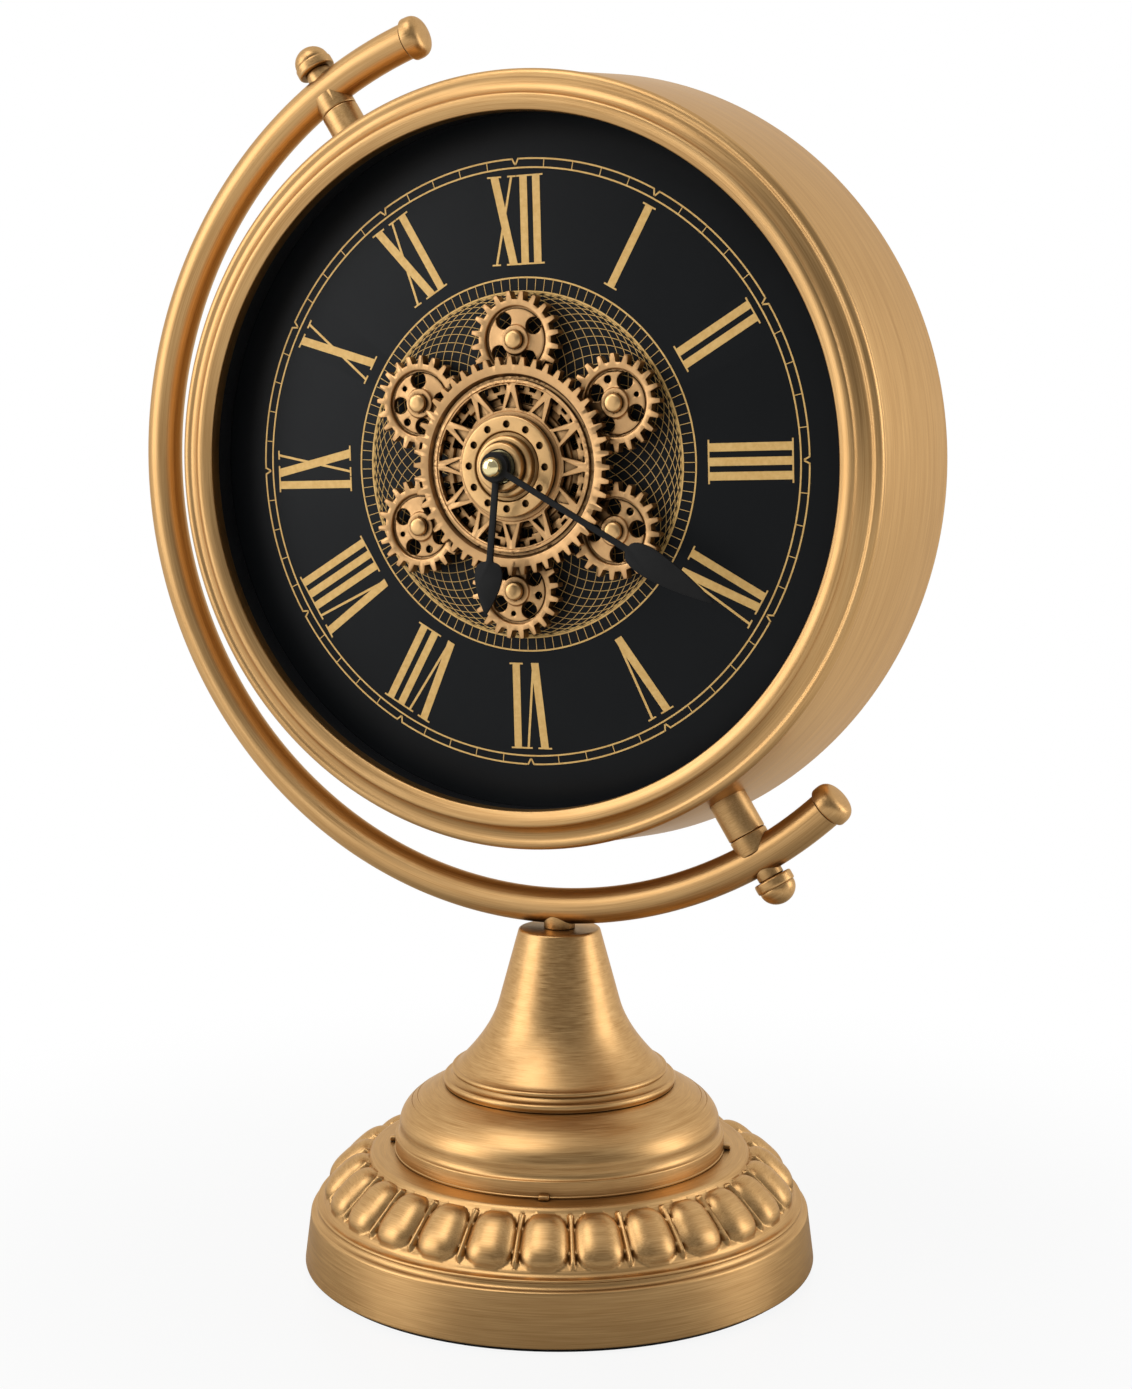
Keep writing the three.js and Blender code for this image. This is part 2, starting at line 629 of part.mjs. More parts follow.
// Arc seat, coped to the tube
const seatArc = arcBar(160, 200, TUBE_RADIUS + RUN_GAP, 0, 8).translate(-ARC_OFFSET, 0, arcCentreZ);
const seatBlank = uprightPin(SEAT_RADIUS, neckTop + SEAT_GAP, tubeCentreAtRod - TUBE_RADIUS / 2);
const seatHole = uprightPin(ROD_RADIUS + FIT_GAP, neckBottom, arcCentreZ);
piece(stand, 'arc_seat', cut(solid(seatBlank), seatArc, seatHole), 'antiqueGold');

// End caps: a rounded head with a spigot in the tube's end, pointing out along the arc
function capBody() {
  const lip = CAP_LENGTH / 4;
  const crown = curve([CAP_RADIUS, lip], [CAP_RADIUS, CAP_LENGTH], [0, CAP_LENGTH], 4);
  return [
    [0, -CAP_SPIGOT_LENGTH],
    [CAP_SPIGOT_RADIUS, -CAP_SPIGOT_LENGTH],
    [CAP_SPIGOT_RADIUS, FIT_GAP],
    [CAP_RADIUS, FIT_GAP],
    ...crown,
  ];
}
for (const [name, degrees, turn] of [['upper', -ARC_UPPER_END, 1], ['lower', ARC_LOWER_END, -1]]) {
  const angle = THREE.MathUtils.degToRad(degrees);
  const cap = piece(arc, `${name}_end_cap`, solid(turned(capBody(), SMALL_SIDES)), 'antiqueGold');
  cap.position.set(arcRadius * Math.sin(angle), 0, arcRadius * Math.cos(angle));
  const outwards = new THREE.Vector3(Math.cos(angle) * turn, 0, -Math.sin(angle) * turn);
  cap.quaternion.setFromUnitVectors(new THREE.Vector3(0, 1, 0), outwards);
}

// Case drum: a drawn can that widens to the back, with a turned-in flange for the cover
const drumDepth = CASE_REACH - REAR_ROUND - caseFront;
const drumTaper = (caseRearRadius - CASE_FRONT_RADIUS) / drumDepth;
const caseRadiusAt = (y) => CASE_FRONT_RADIUS + drumTaper * (y - caseFront);
const flangeInner = caseRearRadius - FLANGE_WIDTH;
const drumProfile = [
  [CASE_FRONT_RADIUS - CASE_WALL, caseFront],
  [CASE_FRONT_RADIUS, caseFront],
  [caseRearRadius, CASE_REACH - REAR_ROUND],
  [caseRearRadius - REAR_ROUND, CASE_REACH],
  [flangeInner, CASE_REACH],
  [flangeInner, CASE_REACH - CASE_WALL],
  [caseRearRadius - REAR_ROUND, CASE_REACH - CASE_WALL],
];
const screwOrbit = coverRadius - SCREW_INSET;
const screwTurns = Array.from({ length: SCREW_COUNT }, (_, i) => (2 * Math.PI * i) / SCREW_COUNT);
const screwHole = (turn) => {
  const drill = pin(SCREW_RADIUS + FIT_GAP, 0, coverBack + SCREW_LENGTH, TUBE_SIDES);
  return drill.translate(0, 0, screwOrbit).rotateY(turn);
};
const drum = cut(solid(turned(drumProfile, LARGE_SIDES)), boltHole(FIT_GAP), ...screwTurns.map(screwHole));
piece(clockCase, 'case_drum', drum, 'antiqueGold');

// Bezel: sloping inner lip, cove, outer roll, and a skirt inside the drum with a step for the dial
function bezelBody() {
  const ridge = [lipRadius + BEZEL_LIP_WIDTH, bezelFront];
  const rollFront = bezelFront + BEZEL_ROLL_DROP;
  const rollInside = bezelRadius - BEZEL_ROLL_WIDTH;
  const rollEdge = [bezelRadius, (rollFront + bezelShoulder) / 2];
  const stepRadius = dialRadius - DIAL_LAP;
  const skirtBack = bezelShoulder + SKIRT_DEPTH;
  return [
    [skirtRadius - SKIRT_WALL, skirtBack],
    [skirtRadius, skirtBack],
    [skirtRadius, bezelShoulder],
    [CASE_FRONT_RADIUS, bezelShoulder],
    ...curve(rollEdge, [bezelRadius, rollFront], [bezelRadius - BEZEL_ROLL_WIDTH / 2, rollFront], 3),
    ...curve([rollInside, rollFront + SKIRT_WALL / 4], [ridge[0], rollFront], ridge, 3),
    [lipRadius, bezelFront + BEZEL_LIP_FALL],
    [lipRadius, lipBack],
    [stepRadius, lipBack],
    [stepRadius, dialFront - SEAT_GAP],
    [skirtRadius - SKIRT_WALL, dialFront - SEAT_GAP],
  ];
}
piece(clockCase, 'bezel', solid(turned(bezelBody(), LARGE_SIDES)), 'antiqueGold');

// Black well between the bezel's lip and the dial, with a flange on the dial
const wellInner = lipRadius + 4 * FIT_GAP;
const wellFlangeFront = dialFront - SEAT_GAP - WELL_FLANGE;
const wellProfile = [
  [wellInner, dialFront - SEAT_GAP],
  [wellInner, lipBack + SEAT_GAP],
  [wellInner + WELL_WALL, lipBack + SEAT_GAP],
  [wellInner + WELL_WALL, wellFlangeFront],
  [dialRadius - DIAL_LAP - FIT_GAP, wellFlangeFront],
  [dialRadius - DIAL_LAP - FIT_GAP, dialFront - SEAT_GAP],
];
piece(clockCase, 'dial_well', solid(turned(wellProfile, LARGE_SIDES)), 'blackDial');

// Dial with holes for the hollow shaft and the six studs
const planetTurns = Array.from({ length: PLANET_COUNT }, (_, i) => (2 * Math.PI * i) / PLANET_COUNT);
const onOrbit = (geometry, turn) => geometry.translate(0, 0, planetOrbit).rotateY(turn);
const studPin = (radius, from, to) => (turn) => onOrbit(pin(radius, from, to, STUD_SIDES), turn);
const shaftHole = pin(GEAR_TUBE_RADIUS + RUN_GAP, bridgeBack + DRIVE_GAP, dialFront - DRIVE_GAP);
const dialDisc = solid(pin(dialRadius, dialFront, dialBack, LARGE_SIDES));
const dialStudHoles = planetTurns.map(studPin(STUD_SHOULDER + FIT_GAP, bridgeBack, dialFront - DRIVE_GAP));
piece(clockCase, 'dial_plate', cut(dialDisc, shaftHole, ...dialStudHoles), 'blackDial');

// Gear bridge behind the dial, with shouldered studs and their domed heads
const studProfile = [
  [0, bridgeFront + BRIDGE_THICK / 2],
  [STUD_SHOULDER, bridgeFront + BRIDGE_THICK / 2],
  [STUD_SHOULDER, planetBack + RUN_GAP],
  [STUD_RADIUS, planetBack + RUN_GAP],
  [STUD_RADIUS, planetFront - RUN_GAP],
  [STUD_HEAD_RADIUS, planetFront - RUN_GAP],
  [STUD_HEAD_RADIUS, planetFront - RUN_GAP - STUD_HEAD_HEIGHT / 3],
  [STUD_HEAD_RADIUS / 2, planetFront - RUN_GAP - STUD_HEAD_HEIGHT],
  [0, planetFront - RUN_GAP - STUD_HEAD_HEIGHT],
];
const studs = planetTurns.map((turn) => onOrbit(turned(studProfile, STUD_SIDES), turn));
const bridge = joined(pin(BRIDGE_RADIUS, bridgeFront, bridgeBack, MEDIUM_SIDES), ...studs);
piece(clockCase, 'gear_bridge', cut(bridge, shaftHole), 'steel');

// Gear box: a tray closed in front by the bridge
const boxOuter = block(
  [-BOX_WIDTH / 2, bridgeBack + SEAT_GAP, -BOX_HEIGHT / 2],
  [BOX_WIDTH / 2, boxBack, BOX_HEIGHT / 2],
);
const boxInner = block(
  [BOX_WALL - BOX_WIDTH / 2, bridgeFront, BOX_WALL - BOX_HEIGHT / 2],
  [BOX_WIDTH / 2 - BOX_WALL, boxFloor, BOX_HEIGHT / 2 - BOX_WALL],
);
const bushHole = pin(CENTRE_BUSH_RADIUS + FIT_GAP, bridgeFront, movementFront + BOX_WALL);
piece(clockCase, 'gear_box', cut(solid(boxOuter), boxInner, bushHole), 'blackPlastic');
const motorPlace = [0, 0, driveCentres];
const motorCan = pin(MOTOR_RADIUS, motorFront, motorFront + MOTOR_LENGTH).translate(...motorPlace);
const motorBore = pin(MOTOR_SHAFT_RADIUS + RUN_GAP, bridgeFront, motorFront + MOTOR_SHAFT_DEPTH);
motorBore.translate(...motorPlace);
piece(clockCase, 'gear_motor', cut(solid(motorCan), motorBore), 'steel');

// Quartz movement with a trough for its cell, and the fixed bush that carries the hands' shafts
const halfSide = MOVEMENT_SIDE / 2;
const cellY = movementBack + CLOCK_CELL_PROUD - CELL_RADIUS;
const troughRadius = CELL_RADIUS + RUN_GAP;
const troughEnd = (CELL_LENGTH + CELL_TIP + CELL_PLAY) / 2;
const trough = pin(troughRadius, -troughEnd, troughEnd);
trough.rotateZ(Math.PI / 2).translate(0, cellY, CLOCK_CELL_Z);
const troughMouth = block(
  [-troughEnd, cellY, CLOCK_CELL_Z - troughRadius],
  [troughEnd, movementBack + CELL_RADIUS, CLOCK_CELL_Z + troughRadius],
);
const arborBack = movementFront + ARBOR_DEPTH;
const arborHole = pin(PIPE_RADIUS + RUN_GAP, bridgeFront, arborBack + RUN_GAP);
const knobStemFront = movementBack - KNOB_STEM;
const knobHole = pin(KNOB_STEM_RADIUS + RUN_GAP, knobStemFront - RUN_GAP, coverBack);
knobHole.translate(KNOB_X, 0, KNOB_Z);
const movementBlock = block([-halfSide, movementFront, -halfSide], [halfSide, movementBack, halfSide]);
const movement = cut(solid(movementBlock), trough, troughMouth, arborHole, knobHole);
piece(clockCase, 'clock_movement', movement, 'blackPlastic');
const bushBore = CENTRE_BUSH_RADIUS - CENTRE_BUSH_WALL;
const bushProfile = [
  [bushBore, movementFront - SEAT_GAP],
  [CENTRE_BUSH_RADIUS, movementFront - SEAT_GAP],
  [CENTRE_BUSH_RADIUS, noseFront],
  [bushBore, noseFront],
];
piece(clockCase, 'centre_bush', solid(turned(bushProfile)), 'brass');

// Cells: a can with a contact tip, lying along X
function cellBody(y, z, flip) {
  const start = -(CELL_LENGTH + CELL_TIP) / 2;
  const shoulder = start + CELL_LENGTH;
  const can = [[0, start], [CELL_RADIUS, start], [CELL_RADIUS, shoulder], [CELL_TIP_RADIUS, shoulder]];
  const tip = [[CELL_TIP_RADIUS, shoulder + CELL_TIP], [0, shoulder + CELL_TIP]];
  return solid(turned([...can, ...tip]).rotateZ((flip * Math.PI) / 2).translate(0, y, z));
}
piece(clockCase, 'clock_battery', cellBody(cellY, CLOCK_CELL_Z, 1), 'cellWrap');

// Tray for the two motor cells, open to the back
const trayFloor = coverFront - SEAT_GAP - TRAY_DEPTH + TRAY_WALL;
const trayHalfWidth = troughEnd + TRAY_WALL;
const trayHalfHeight = 2 * troughRadius + TRAY_WALL;
const trayOuter = block(
  [-trayHalfWidth, trayFloor - TRAY_WALL, TRAY_Z - trayHalfHeight],
  [trayHalfWidth, coverFront - SEAT_GAP, TRAY_Z + trayHalfHeight],
);
const trayInner = block(
  [-troughEnd, trayFloor, TRAY_Z - trayHalfHeight + TRAY_WALL],
  [troughEnd, coverBack, TRAY_Z + trayHalfHeight - TRAY_WALL],
);
piece(clockCase, 'battery_tray', cut(solid(trayOuter), trayInner), 'blackPlastic');
const trayCellY = trayFloor + CELL_RADIUS + FIT_GAP;
piece(clockCase, 'gear_battery_upper', cellBody(trayCellY, TRAY_Z + troughRadius, 1), 'cellWrap');
piece(clockCase, 'gear_battery_lower', cellBody(trayCellY, TRAY_Z - troughRadius, -1), 'cellWrap');

// Back cover: hatch over movement and tray, rails for the door, slot for the switch
const hatchHalf = troughEnd - HATCH_LAP;
const hatchLow = TRAY_Z - trayHalfHeight + TRAY_WALL + HATCH_LAP;
const hatchHigh = halfSide - HATCH_LAP;
const doorHalf = hatchHalf + DOOR_LAP;
const doorLow = hatchLow - DOOR_LAP;
const doorHigh = hatchHigh + DOOR_LAP;
const doorFront = coverBack + RUN_GAP;
const doorBack = doorFront + DOOR_THICK;
const lipFront = doorBack + RUN_GAP;
const railEnd = doorHalf + DOOR_TRAVEL;
const slotLow = SWITCH_Z - (SLIDER_HEIGHT + SLIDER_TRAVEL) / 2 - RUN_GAP;
const slotHigh = SWITCH_Z + (SLIDER_HEIGHT + SLIDER_TRAVEL) / 2 + RUN_GAP;
const slotHalf = SLIDER_WIDTH / 2 + RUN_GAP;
function railBlocks(edge, side) {
  const near = edge + side * RUN_GAP;
  const far = near + side * RAIL_WIDTH;
  const lap = edge - side * RAIL_LAP;
  const span = (a, b) => [Math.min(a, b), Math.max(a, b)];
  const [webLow, webHigh] = span(near, far);
  const [lipLow, lipHigh] = span(lap, far);
  return [
    block([-doorHalf, coverFront + COVER_THICK / 2, webLow], [railEnd, lipFront + RAIL_LIP, webHigh]),
    block([-doorHalf, lipFront, lipLow], [railEnd, lipFront + RAIL_LIP, lipHigh]),
  ];
}
const doorStop = block(
  [-doorHalf - RUN_GAP - RAIL_WIDTH, coverFront + COVER_THICK / 2, doorLow],
  [-doorHalf - RUN_GAP, doorBack, doorHigh],
);
const coverDisc = pin(coverRadius, coverFront, coverBack, LARGE_SIDES);
const cover = joined(coverDisc, ...railBlocks(doorHigh, 1), ...railBlocks(doorLow, -1), doorStop);
const hatch = block([-hatchHalf, 0, hatchLow], [hatchHalf, doorFront, hatchHigh]);
const slot = block([SWITCH_X - slotHalf, 0, slotLow], [SWITCH_X + slotHalf, doorFront, slotHigh]);
piece(clockCase, 'back_cover', cut(cover, hatch, slot, ...screwTurns.map(screwHole)), 'blackPlastic');

// Cover screws, driven through the cover into the drum's flange
const screwProfile = [
  [0, coverBack - SCREW_LENGTH],
  [SCREW_RADIUS, coverBack - SCREW_LENGTH],
  [SCREW_RADIUS, coverBack + SEAT_GAP],
  [SCREW_HEAD_RADIUS, coverBack + SEAT_GAP],
  [SCREW_HEAD_RADIUS, coverBack + SCREW_HEAD_HEIGHT / 2],
  [SCREW_HEAD_RADIUS / 2, coverBack + SCREW_HEAD_HEIGHT],
  [0, coverBack + SCREW_HEAD_HEIGHT],
];
screwTurns.forEach((turn, i) => {
  const screw = turned(screwProfile, STUD_SIDES).translate(0, 0, screwOrbit).rotateY(turn);
  piece(clockCase, `cover_screw_${i + 1}`, solid(screw), 'steel');
});

// Sliding door with a grip rib
const doorSheet = block([-doorHalf, doorFront, doorLow], [doorHalf, doorBack, doorHigh]);
const doorMid = (doorLow + doorHigh) / 2;
const gripHalf = (doorHigh - doorLow) / 4;
const grip = block(
  [GRIP_WIDTH - doorHalf, doorFront + DOOR_THICK / 2, doorMid - gripHalf],
  [2 * GRIP_WIDTH - doorHalf, doorBack + GRIP_HEIGHT, doorMid + gripHalf],
);
piece(clockCase, 'battery_door', joined(doorSheet, grip), 'blackPlastic');

// Motor switch: a body behind the cover, and a slider at its lower, off end
const switchFront = coverFront - SEAT_GAP - SWITCH_DEPTH;
const switchFloor = switchFront + SWITCH_DEPTH / 3;
const switchBlock = block(
  [SWITCH_X - SWITCH_WIDTH / 2, switchFront, SWITCH_Z - SWITCH_HEIGHT / 2],
  [SWITCH_X + SWITCH_WIDTH / 2, coverFront - SEAT_GAP, SWITCH_Z + SWITCH_HEIGHT / 2],
);
const switchSlot = block(
  [SWITCH_X - slotHalf, switchFloor, slotLow],
  [SWITCH_X + slotHalf, coverBack, slotHigh],
);
piece(clockCase, 'switch_body', cut(solid(switchBlock), switchSlot), 'blackPlastic');
const sliderLow = slotLow + RUN_GAP;
const sliderStem = block(
  [SWITCH_X - SLIDER_WIDTH / 2, switchFloor + RUN_GAP, sliderLow],
  [SWITCH_X + SLIDER_WIDTH / 2, doorFront + SLIDER_CAP / 2, sliderLow + SLIDER_HEIGHT],
);
const sliderHalf = SLIDER_WIDTH / 2 + SLIDER_CAP_LAP;
const sliderTop = sliderLow + SLIDER_HEIGHT + SLIDER_CAP_LAP;
const sliderCap = block(
  [SWITCH_X - sliderHalf, doorFront, sliderLow - SLIDER_CAP_LAP],
  [SWITCH_X + sliderHalf, doorFront + SLIDER_CAP, sliderTop],
);
piece(clockCase, 'switch_slider', joined(sliderStem, sliderCap), 'steel');

// Pivot sets: each is made about +Z and turned to its end of the pivot axis
const caseEnvelope = [
  [0, caseFront],
  [CASE_FRONT_RADIUS + FIT_GAP, caseFront],
  [caseRearRadius + FIT_GAP, CASE_REACH - REAR_ROUND],
  [0, CASE_REACH - REAR_ROUND],
];
const pivotArc = arcBar(-10, 10, TUBE_RADIUS + RUN_GAP, 0, 6);
const stubEnd = arcRadius - TUBE_RADIUS - SADDLE_HEIGHT;
const saddleStart = stubEnd + RUN_GAP;
const bushEnd = arcRadius + TUBE_RADIUS + BUSH_HEIGHT;
const nutStart = bushEnd + RUN_GAP;
const wallInside = caseRadiusAt(0) - CASE_WALL;
const facetTurn = Math.PI / LARGE_SIDES;
const wallFlat = (wallInside - BOLT_HEAD_RADIUS * drumTaper) * Math.cos(facetTurn);
const headEnd = wallFlat - BOLT_HEAD_RADIUS * Math.sin(facetTurn) - RUN_GAP;
const boltEnd = nutStart + ACORN_COLLAR;
const boltShank = uprightPin(BOLT_RADIUS, headEnd - RUN_GAP, boltEnd, TUBE_SIDES);
const boltHead = uprightPin(BOLT_HEAD_RADIUS, headEnd - BOLT_HEAD_HEIGHT, headEnd, HEX_SIDES);
const nutBore = boltEnd + FIT_GAP;
const collarEnd = nutStart + ACORN_COLLAR;
const acornTop = collarEnd + ACORN_DOME;
const acornCrown = curve([ACORN_DOME_RADIUS, collarEnd], [ACORN_DOME_RADIUS, acornTop], [0, acornTop], 4);
const acornProfile = [
  [0, nutBore],
  [BOLT_RADIUS + FIT_GAP, nutBore],
  [BOLT_RADIUS + FIT_GAP, nutStart],
  [ACORN_RADIUS, nutStart],
  [ACORN_RADIUS, collarEnd],
  ...acornCrown,
];
const pivotHole = (gap) => uprightPin(BOLT_RADIUS + gap, 0, 2 * arcRadius, TUBE_SIDES);
for (const [name, turn] of [['upper', 0], ['lower', 180]]) {
  const fixed = new THREE.Group();
  const turning = new THREE.Group();
  for (const [group, parent] of [[fixed, arc], [turning, clockCase]]) {
    group.rotation.y = THREE.MathUtils.degToRad(turn - PIVOT_LEAN);
    parent.add(group);
  }
  const stub = solid(uprightPin(STUB_RADIUS, CASE_FRONT_RADIUS - CASE_WALL, stubEnd));
  const caseSpace = turned(caseEnvelope, 2 * LARGE_SIDES);
  piece(turning, `${name}_stub`, cut(stub, caseSpace, pivotHole(FIT_GAP)), 'antiqueGold');
  const saddle = solid(uprightPin(STUB_RADIUS, saddleStart, arcRadius - TUBE_RADIUS / 3));
  piece(fixed, `${name}_saddle`, cut(saddle, pivotArc, pivotHole(RUN_GAP)), 'antiqueGold');
  const bush = solid(uprightPin(BUSH_RADIUS, arcRadius + TUBE_RADIUS / 2, bushEnd));
  piece(fixed, `${name}_outer_bush`, cut(bush, pivotArc, pivotHole(RUN_GAP)), 'antiqueGold');
  piece(turning, `${name}_pivot_bolt`, joined(boltHead, boltShank), 'steel');
  piece(turning, `${name}_acorn_nut`, solid(upright(acornProfile)), 'antiqueGold');
}

// Rear gear and front gear on the hollow shaft, with the flange and its stepped boss in front
const hubBore = GEAR_TUBE_RADIUS + FIT_GAP;
const rearShape = gearShape(REAR_TEETH, GEAR_MODULE);
rearShape.holes.push(circlePath(hubBore));
piece(clockCase, 'rear_gear', solid(plate(rearShape, planetBack, PLANET_THICK)), 'bronze');

function windowPath(index) {
  const pitch = (2 * Math.PI) / WINDOW_COUNT;
  const centre = index * pitch;
  const corners = [[WINDOW_OUTER, -1], [WINDOW_OUTER, 1], [WINDOW_INNER, 1], [WINDOW_INNER, -1]];
  const points = corners.map(([radius, side]) => {
    const angle = centre + side * (pitch / 2 - WINDOW_BAR / 2 / radius);
    return new THREE.Vector2(radius * Math.sin(angle), radius * Math.cos(angle));
  });
  return new THREE.Path(points);
}
const frontShape = toothedShape(FRONT_GEAR_TEETH, FRONT_GEAR_RADIUS, FRONT_GEAR_RADIUS - FRONT_TOOTH_HEIGHT);
frontShape.holes.push(circlePath(hubBore), ...Array.from({ length: WINDOW_COUNT }, (_, i) => windowPath(i)));
piece(clockCase, 'front_gear', solid(plate(frontShape, frontGearBack, FRONT_GEAR_THICK)), 'bronze');

const bossBack = flangeBack - FLANGE_DISC_THICK;
const flangeProfile = [
  [hubBore, flangeBack],
  [FLANGE_DISC_RADIUS, flangeBack],
  [FLANGE_DISC_RADIUS, bossBack],
  [BOSS_RADIUS, bossBack],
  [BOSS_RADIUS, bossBack - BOSS_HEIGHT],
  [NOSE_RADIUS, bossBack - BOSS_HEIGHT],
  [NOSE_RADIUS, noseFront],
  [hubBore, noseFront],
];
piece(clockCase, 'gear_flange', solid(turned(flangeProfile, 2 * SMALL_SIDES)), 'bronze');

const tubeBack = driveBack + DRIVE_GAP / 2;
const gearTubeBore = GEAR_TUBE_RADIUS - GEAR_TUBE_WALL;
const gearTubeProfile = [
  [gearTubeBore, tubeBack],
  [GEAR_TUBE_RADIUS, tubeBack],
  [GEAR_TUBE_RADIUS, noseFront + FIT_GAP],
  [gearTubeBore, noseFront + FIT_GAP],
];
piece(clockCase, 'gear_tube', solid(turned(gearTubeProfile)), 'brass');

const driveShape = gearShape(DRIVE_TEETH, DRIVE_MODULE);
driveShape.holes.push(circlePath(hubBore));
piece(clockCase, 'drive_wheel', solid(plate(driveShape, driveBack, DRIVE_THICK)), 'brass');

// Motor pinion with its shaft: a gap between its teeth faces the drive wheel's top tooth
const pinionWheel = plate(gearShape(PINION_TEETH, DRIVE_MODULE), driveBack, DRIVE_THICK);
pinionWheel.rotateY(Math.PI + Math.PI / PINION_TEETH);
const pinionShaftEnd = motorFront + MOTOR_SHAFT_DEPTH - RUN_GAP;
const pinionShaft = pin(MOTOR_SHAFT_RADIUS, driveBack - DRIVE_THICK / 2, pinionShaftEnd);
piece(clockCase, 'motor_pinion', joined(pinionWheel, pinionShaft), 'brass').position.set(...motorPlace);

// Planets on their studs: each faces the rear gear's tooth with a gap between two of its own
function planetBody() {
  const shape = gearShape(PLANET_TEETH, GEAR_MODULE);
  shape.holes.push(circlePath(STUD_RADIUS + RUN_GAP, 0, 0, TUBE_SIDES));
  for (let i = 0; i < PLANET_HOLES; i += 1) {
    const angle = (2 * Math.PI * (i + 0.5)) / PLANET_HOLES;
    const place = [PLANET_HOLE_ORBIT * Math.sin(angle), PLANET_HOLE_ORBIT * Math.cos(angle)];
    shape.holes.push(circlePath(PLANET_HOLE_RADIUS, ...place, HEX_SIDES));
  }
  return solid(plate(shape, planetBack, PLANET_THICK).rotateY(Math.PI + Math.PI / PLANET_TEETH));
}
planetTurns.forEach((turn, i) => {
  const orbit = new THREE.Group();
  orbit.rotation.y = turn;
  clockCase.add(orbit);
  piece(orbit, `planet_gear_${i + 1}`, planetBody(), 'bronze').position.z = planetOrbit;
});

// Hands: a stem and a spade, pointing to twelve before they are turned
function handShape(length, spade, width, stem) {
  const half = stem / 2;
  const belly = spade + (length - spade) / 3;
  const shape = new THREE.Shape();
  shape.moveTo(half, 0);
  shape.lineTo(half, spade);
  shape.quadraticCurveTo(width / 2, spade, width / 2, belly);
  shape.quadraticCurveTo(width / 4, (belly + length) / 2, 0, length);
  shape.quadraticCurveTo(-width / 4, (belly + length) / 2, -width / 2, belly);
  shape.quadraticCurveTo(-width / 2, spade, -half, spade);
  shape.lineTo(-half, 0);
  return shape;
}
const hourShape = handShape(HOUR_LENGTH, HOUR_SPADE, HOUR_WIDTH, HOUR_STEM);
const hourPlate = plate(hourShape, hourBack, HAND_THICK);
const hourCollet = pin(COLLET_RADIUS, hourBack, hourBack - HAND_THICK);
const hourPipe = pin(PIPE_RADIUS, hourBack - HAND_THICK / 2, arborBack);
const arborRun = pin(PIPE_RADIUS - PIPE_WALL, minuteBack, arborBack + RUN_GAP);
const hourHand = cut(joined(hourPlate, hourCollet, hourPipe), arborRun);
piece(clockCase, 'hour_hand', hourHand, 'blackHand').rotation.y = THREE.MathUtils.degToRad(HOUR_ANGLE);

const minuteShape = handShape(MINUTE_LENGTH, MINUTE_SPADE, MINUTE_WIDTH, MINUTE_STEM);
const minutePlate = plate(minuteShape, minuteBack, HAND_THICK);
const minuteCollet = pin(COLLET_RADIUS, minuteBack, minuteBack - HAND_THICK);
const arborFront = capBack - ARBOR_TAIL;
const minuteArbor = pin(ARBOR_RADIUS, arborFront, arborBack);
const minuteHand = joined(minutePlate, minuteCollet, minuteArbor);
piece(clockCase, 'minute_hand', minuteHand, 'blackHand').rotation.y = THREE.MathUtils.degToRad(MINUTE_ANGLE);

// Domed cap nut on the arbor's end
const capFront = capBack - CAP_NUT_HEIGHT;
const capProfile = [
  [0, arborFront - FIT_GAP],
  [ARBOR_RADIUS + FIT_GAP, arborFront - FIT_GAP],
  [ARBOR_RADIUS + FIT_GAP, capBack],
  [CAP_NUT_RADIUS, capBack],
  ...curve([CAP_NUT_RADIUS, capBack - CAP_NUT_HEIGHT / 3], [CAP_NUT_RADIUS, capFront], [0, capFront], 4),
];
piece(clockCase, 'cap_nut', solid(turned(capProfile)), 'brass');

// Setting knob at the back of the movement
const knobFront = movementBack + RUN_GAP;
const knobProfile = [
  [0, knobStemFront],
  [KNOB_STEM_RADIUS, knobStemFront],
  [KNOB_STEM_RADIUS, knobFront],
  [KNOB_RADIUS, knobFront],
  [KNOB_RADIUS, knobFront + KNOB_HEIGHT],
  [0, knobFront + KNOB_HEIGHT],
];
piece(clockCase, 'set_knob', solid(turned(knobProfile)), 'blackPlastic').position.set(KNOB_X, 0, KNOB_Z);

export default clock;
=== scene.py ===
"""Looks of a table clock with open gears, held by two pivots in an arc on a turned base.

Each piece is modelled in millimetres about its own axis and then settled, in metres, into the frame.
"""

import json
import logging
import math
from dataclasses import dataclass, field
from enum import Enum, IntEnum
from typing import Callable, ClassVar, Sequence

import bmesh
import bpy
from bpy.types import Material, Node, NodeSocket, NodeTree, Object
from mathutils import Matrix, Vector


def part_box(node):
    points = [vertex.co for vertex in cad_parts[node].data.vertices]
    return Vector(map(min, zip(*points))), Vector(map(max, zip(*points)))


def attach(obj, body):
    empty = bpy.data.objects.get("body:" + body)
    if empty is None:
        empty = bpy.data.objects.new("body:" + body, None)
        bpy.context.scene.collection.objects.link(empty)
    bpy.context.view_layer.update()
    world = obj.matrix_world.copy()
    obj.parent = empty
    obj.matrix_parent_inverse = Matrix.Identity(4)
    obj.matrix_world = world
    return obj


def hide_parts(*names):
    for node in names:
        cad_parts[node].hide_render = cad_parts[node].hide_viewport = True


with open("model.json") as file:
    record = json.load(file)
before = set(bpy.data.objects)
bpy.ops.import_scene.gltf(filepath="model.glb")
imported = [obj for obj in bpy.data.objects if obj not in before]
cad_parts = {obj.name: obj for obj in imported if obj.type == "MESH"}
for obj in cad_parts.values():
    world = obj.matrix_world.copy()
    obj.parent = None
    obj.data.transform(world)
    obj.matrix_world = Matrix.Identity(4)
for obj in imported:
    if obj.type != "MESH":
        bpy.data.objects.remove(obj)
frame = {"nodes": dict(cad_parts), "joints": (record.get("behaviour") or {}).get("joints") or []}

MM = 0.001
TURN = 2 * math.pi
HOURS = 12
MINUTES = 60
WELD = 0.001
TOOTH_FACETS = 8
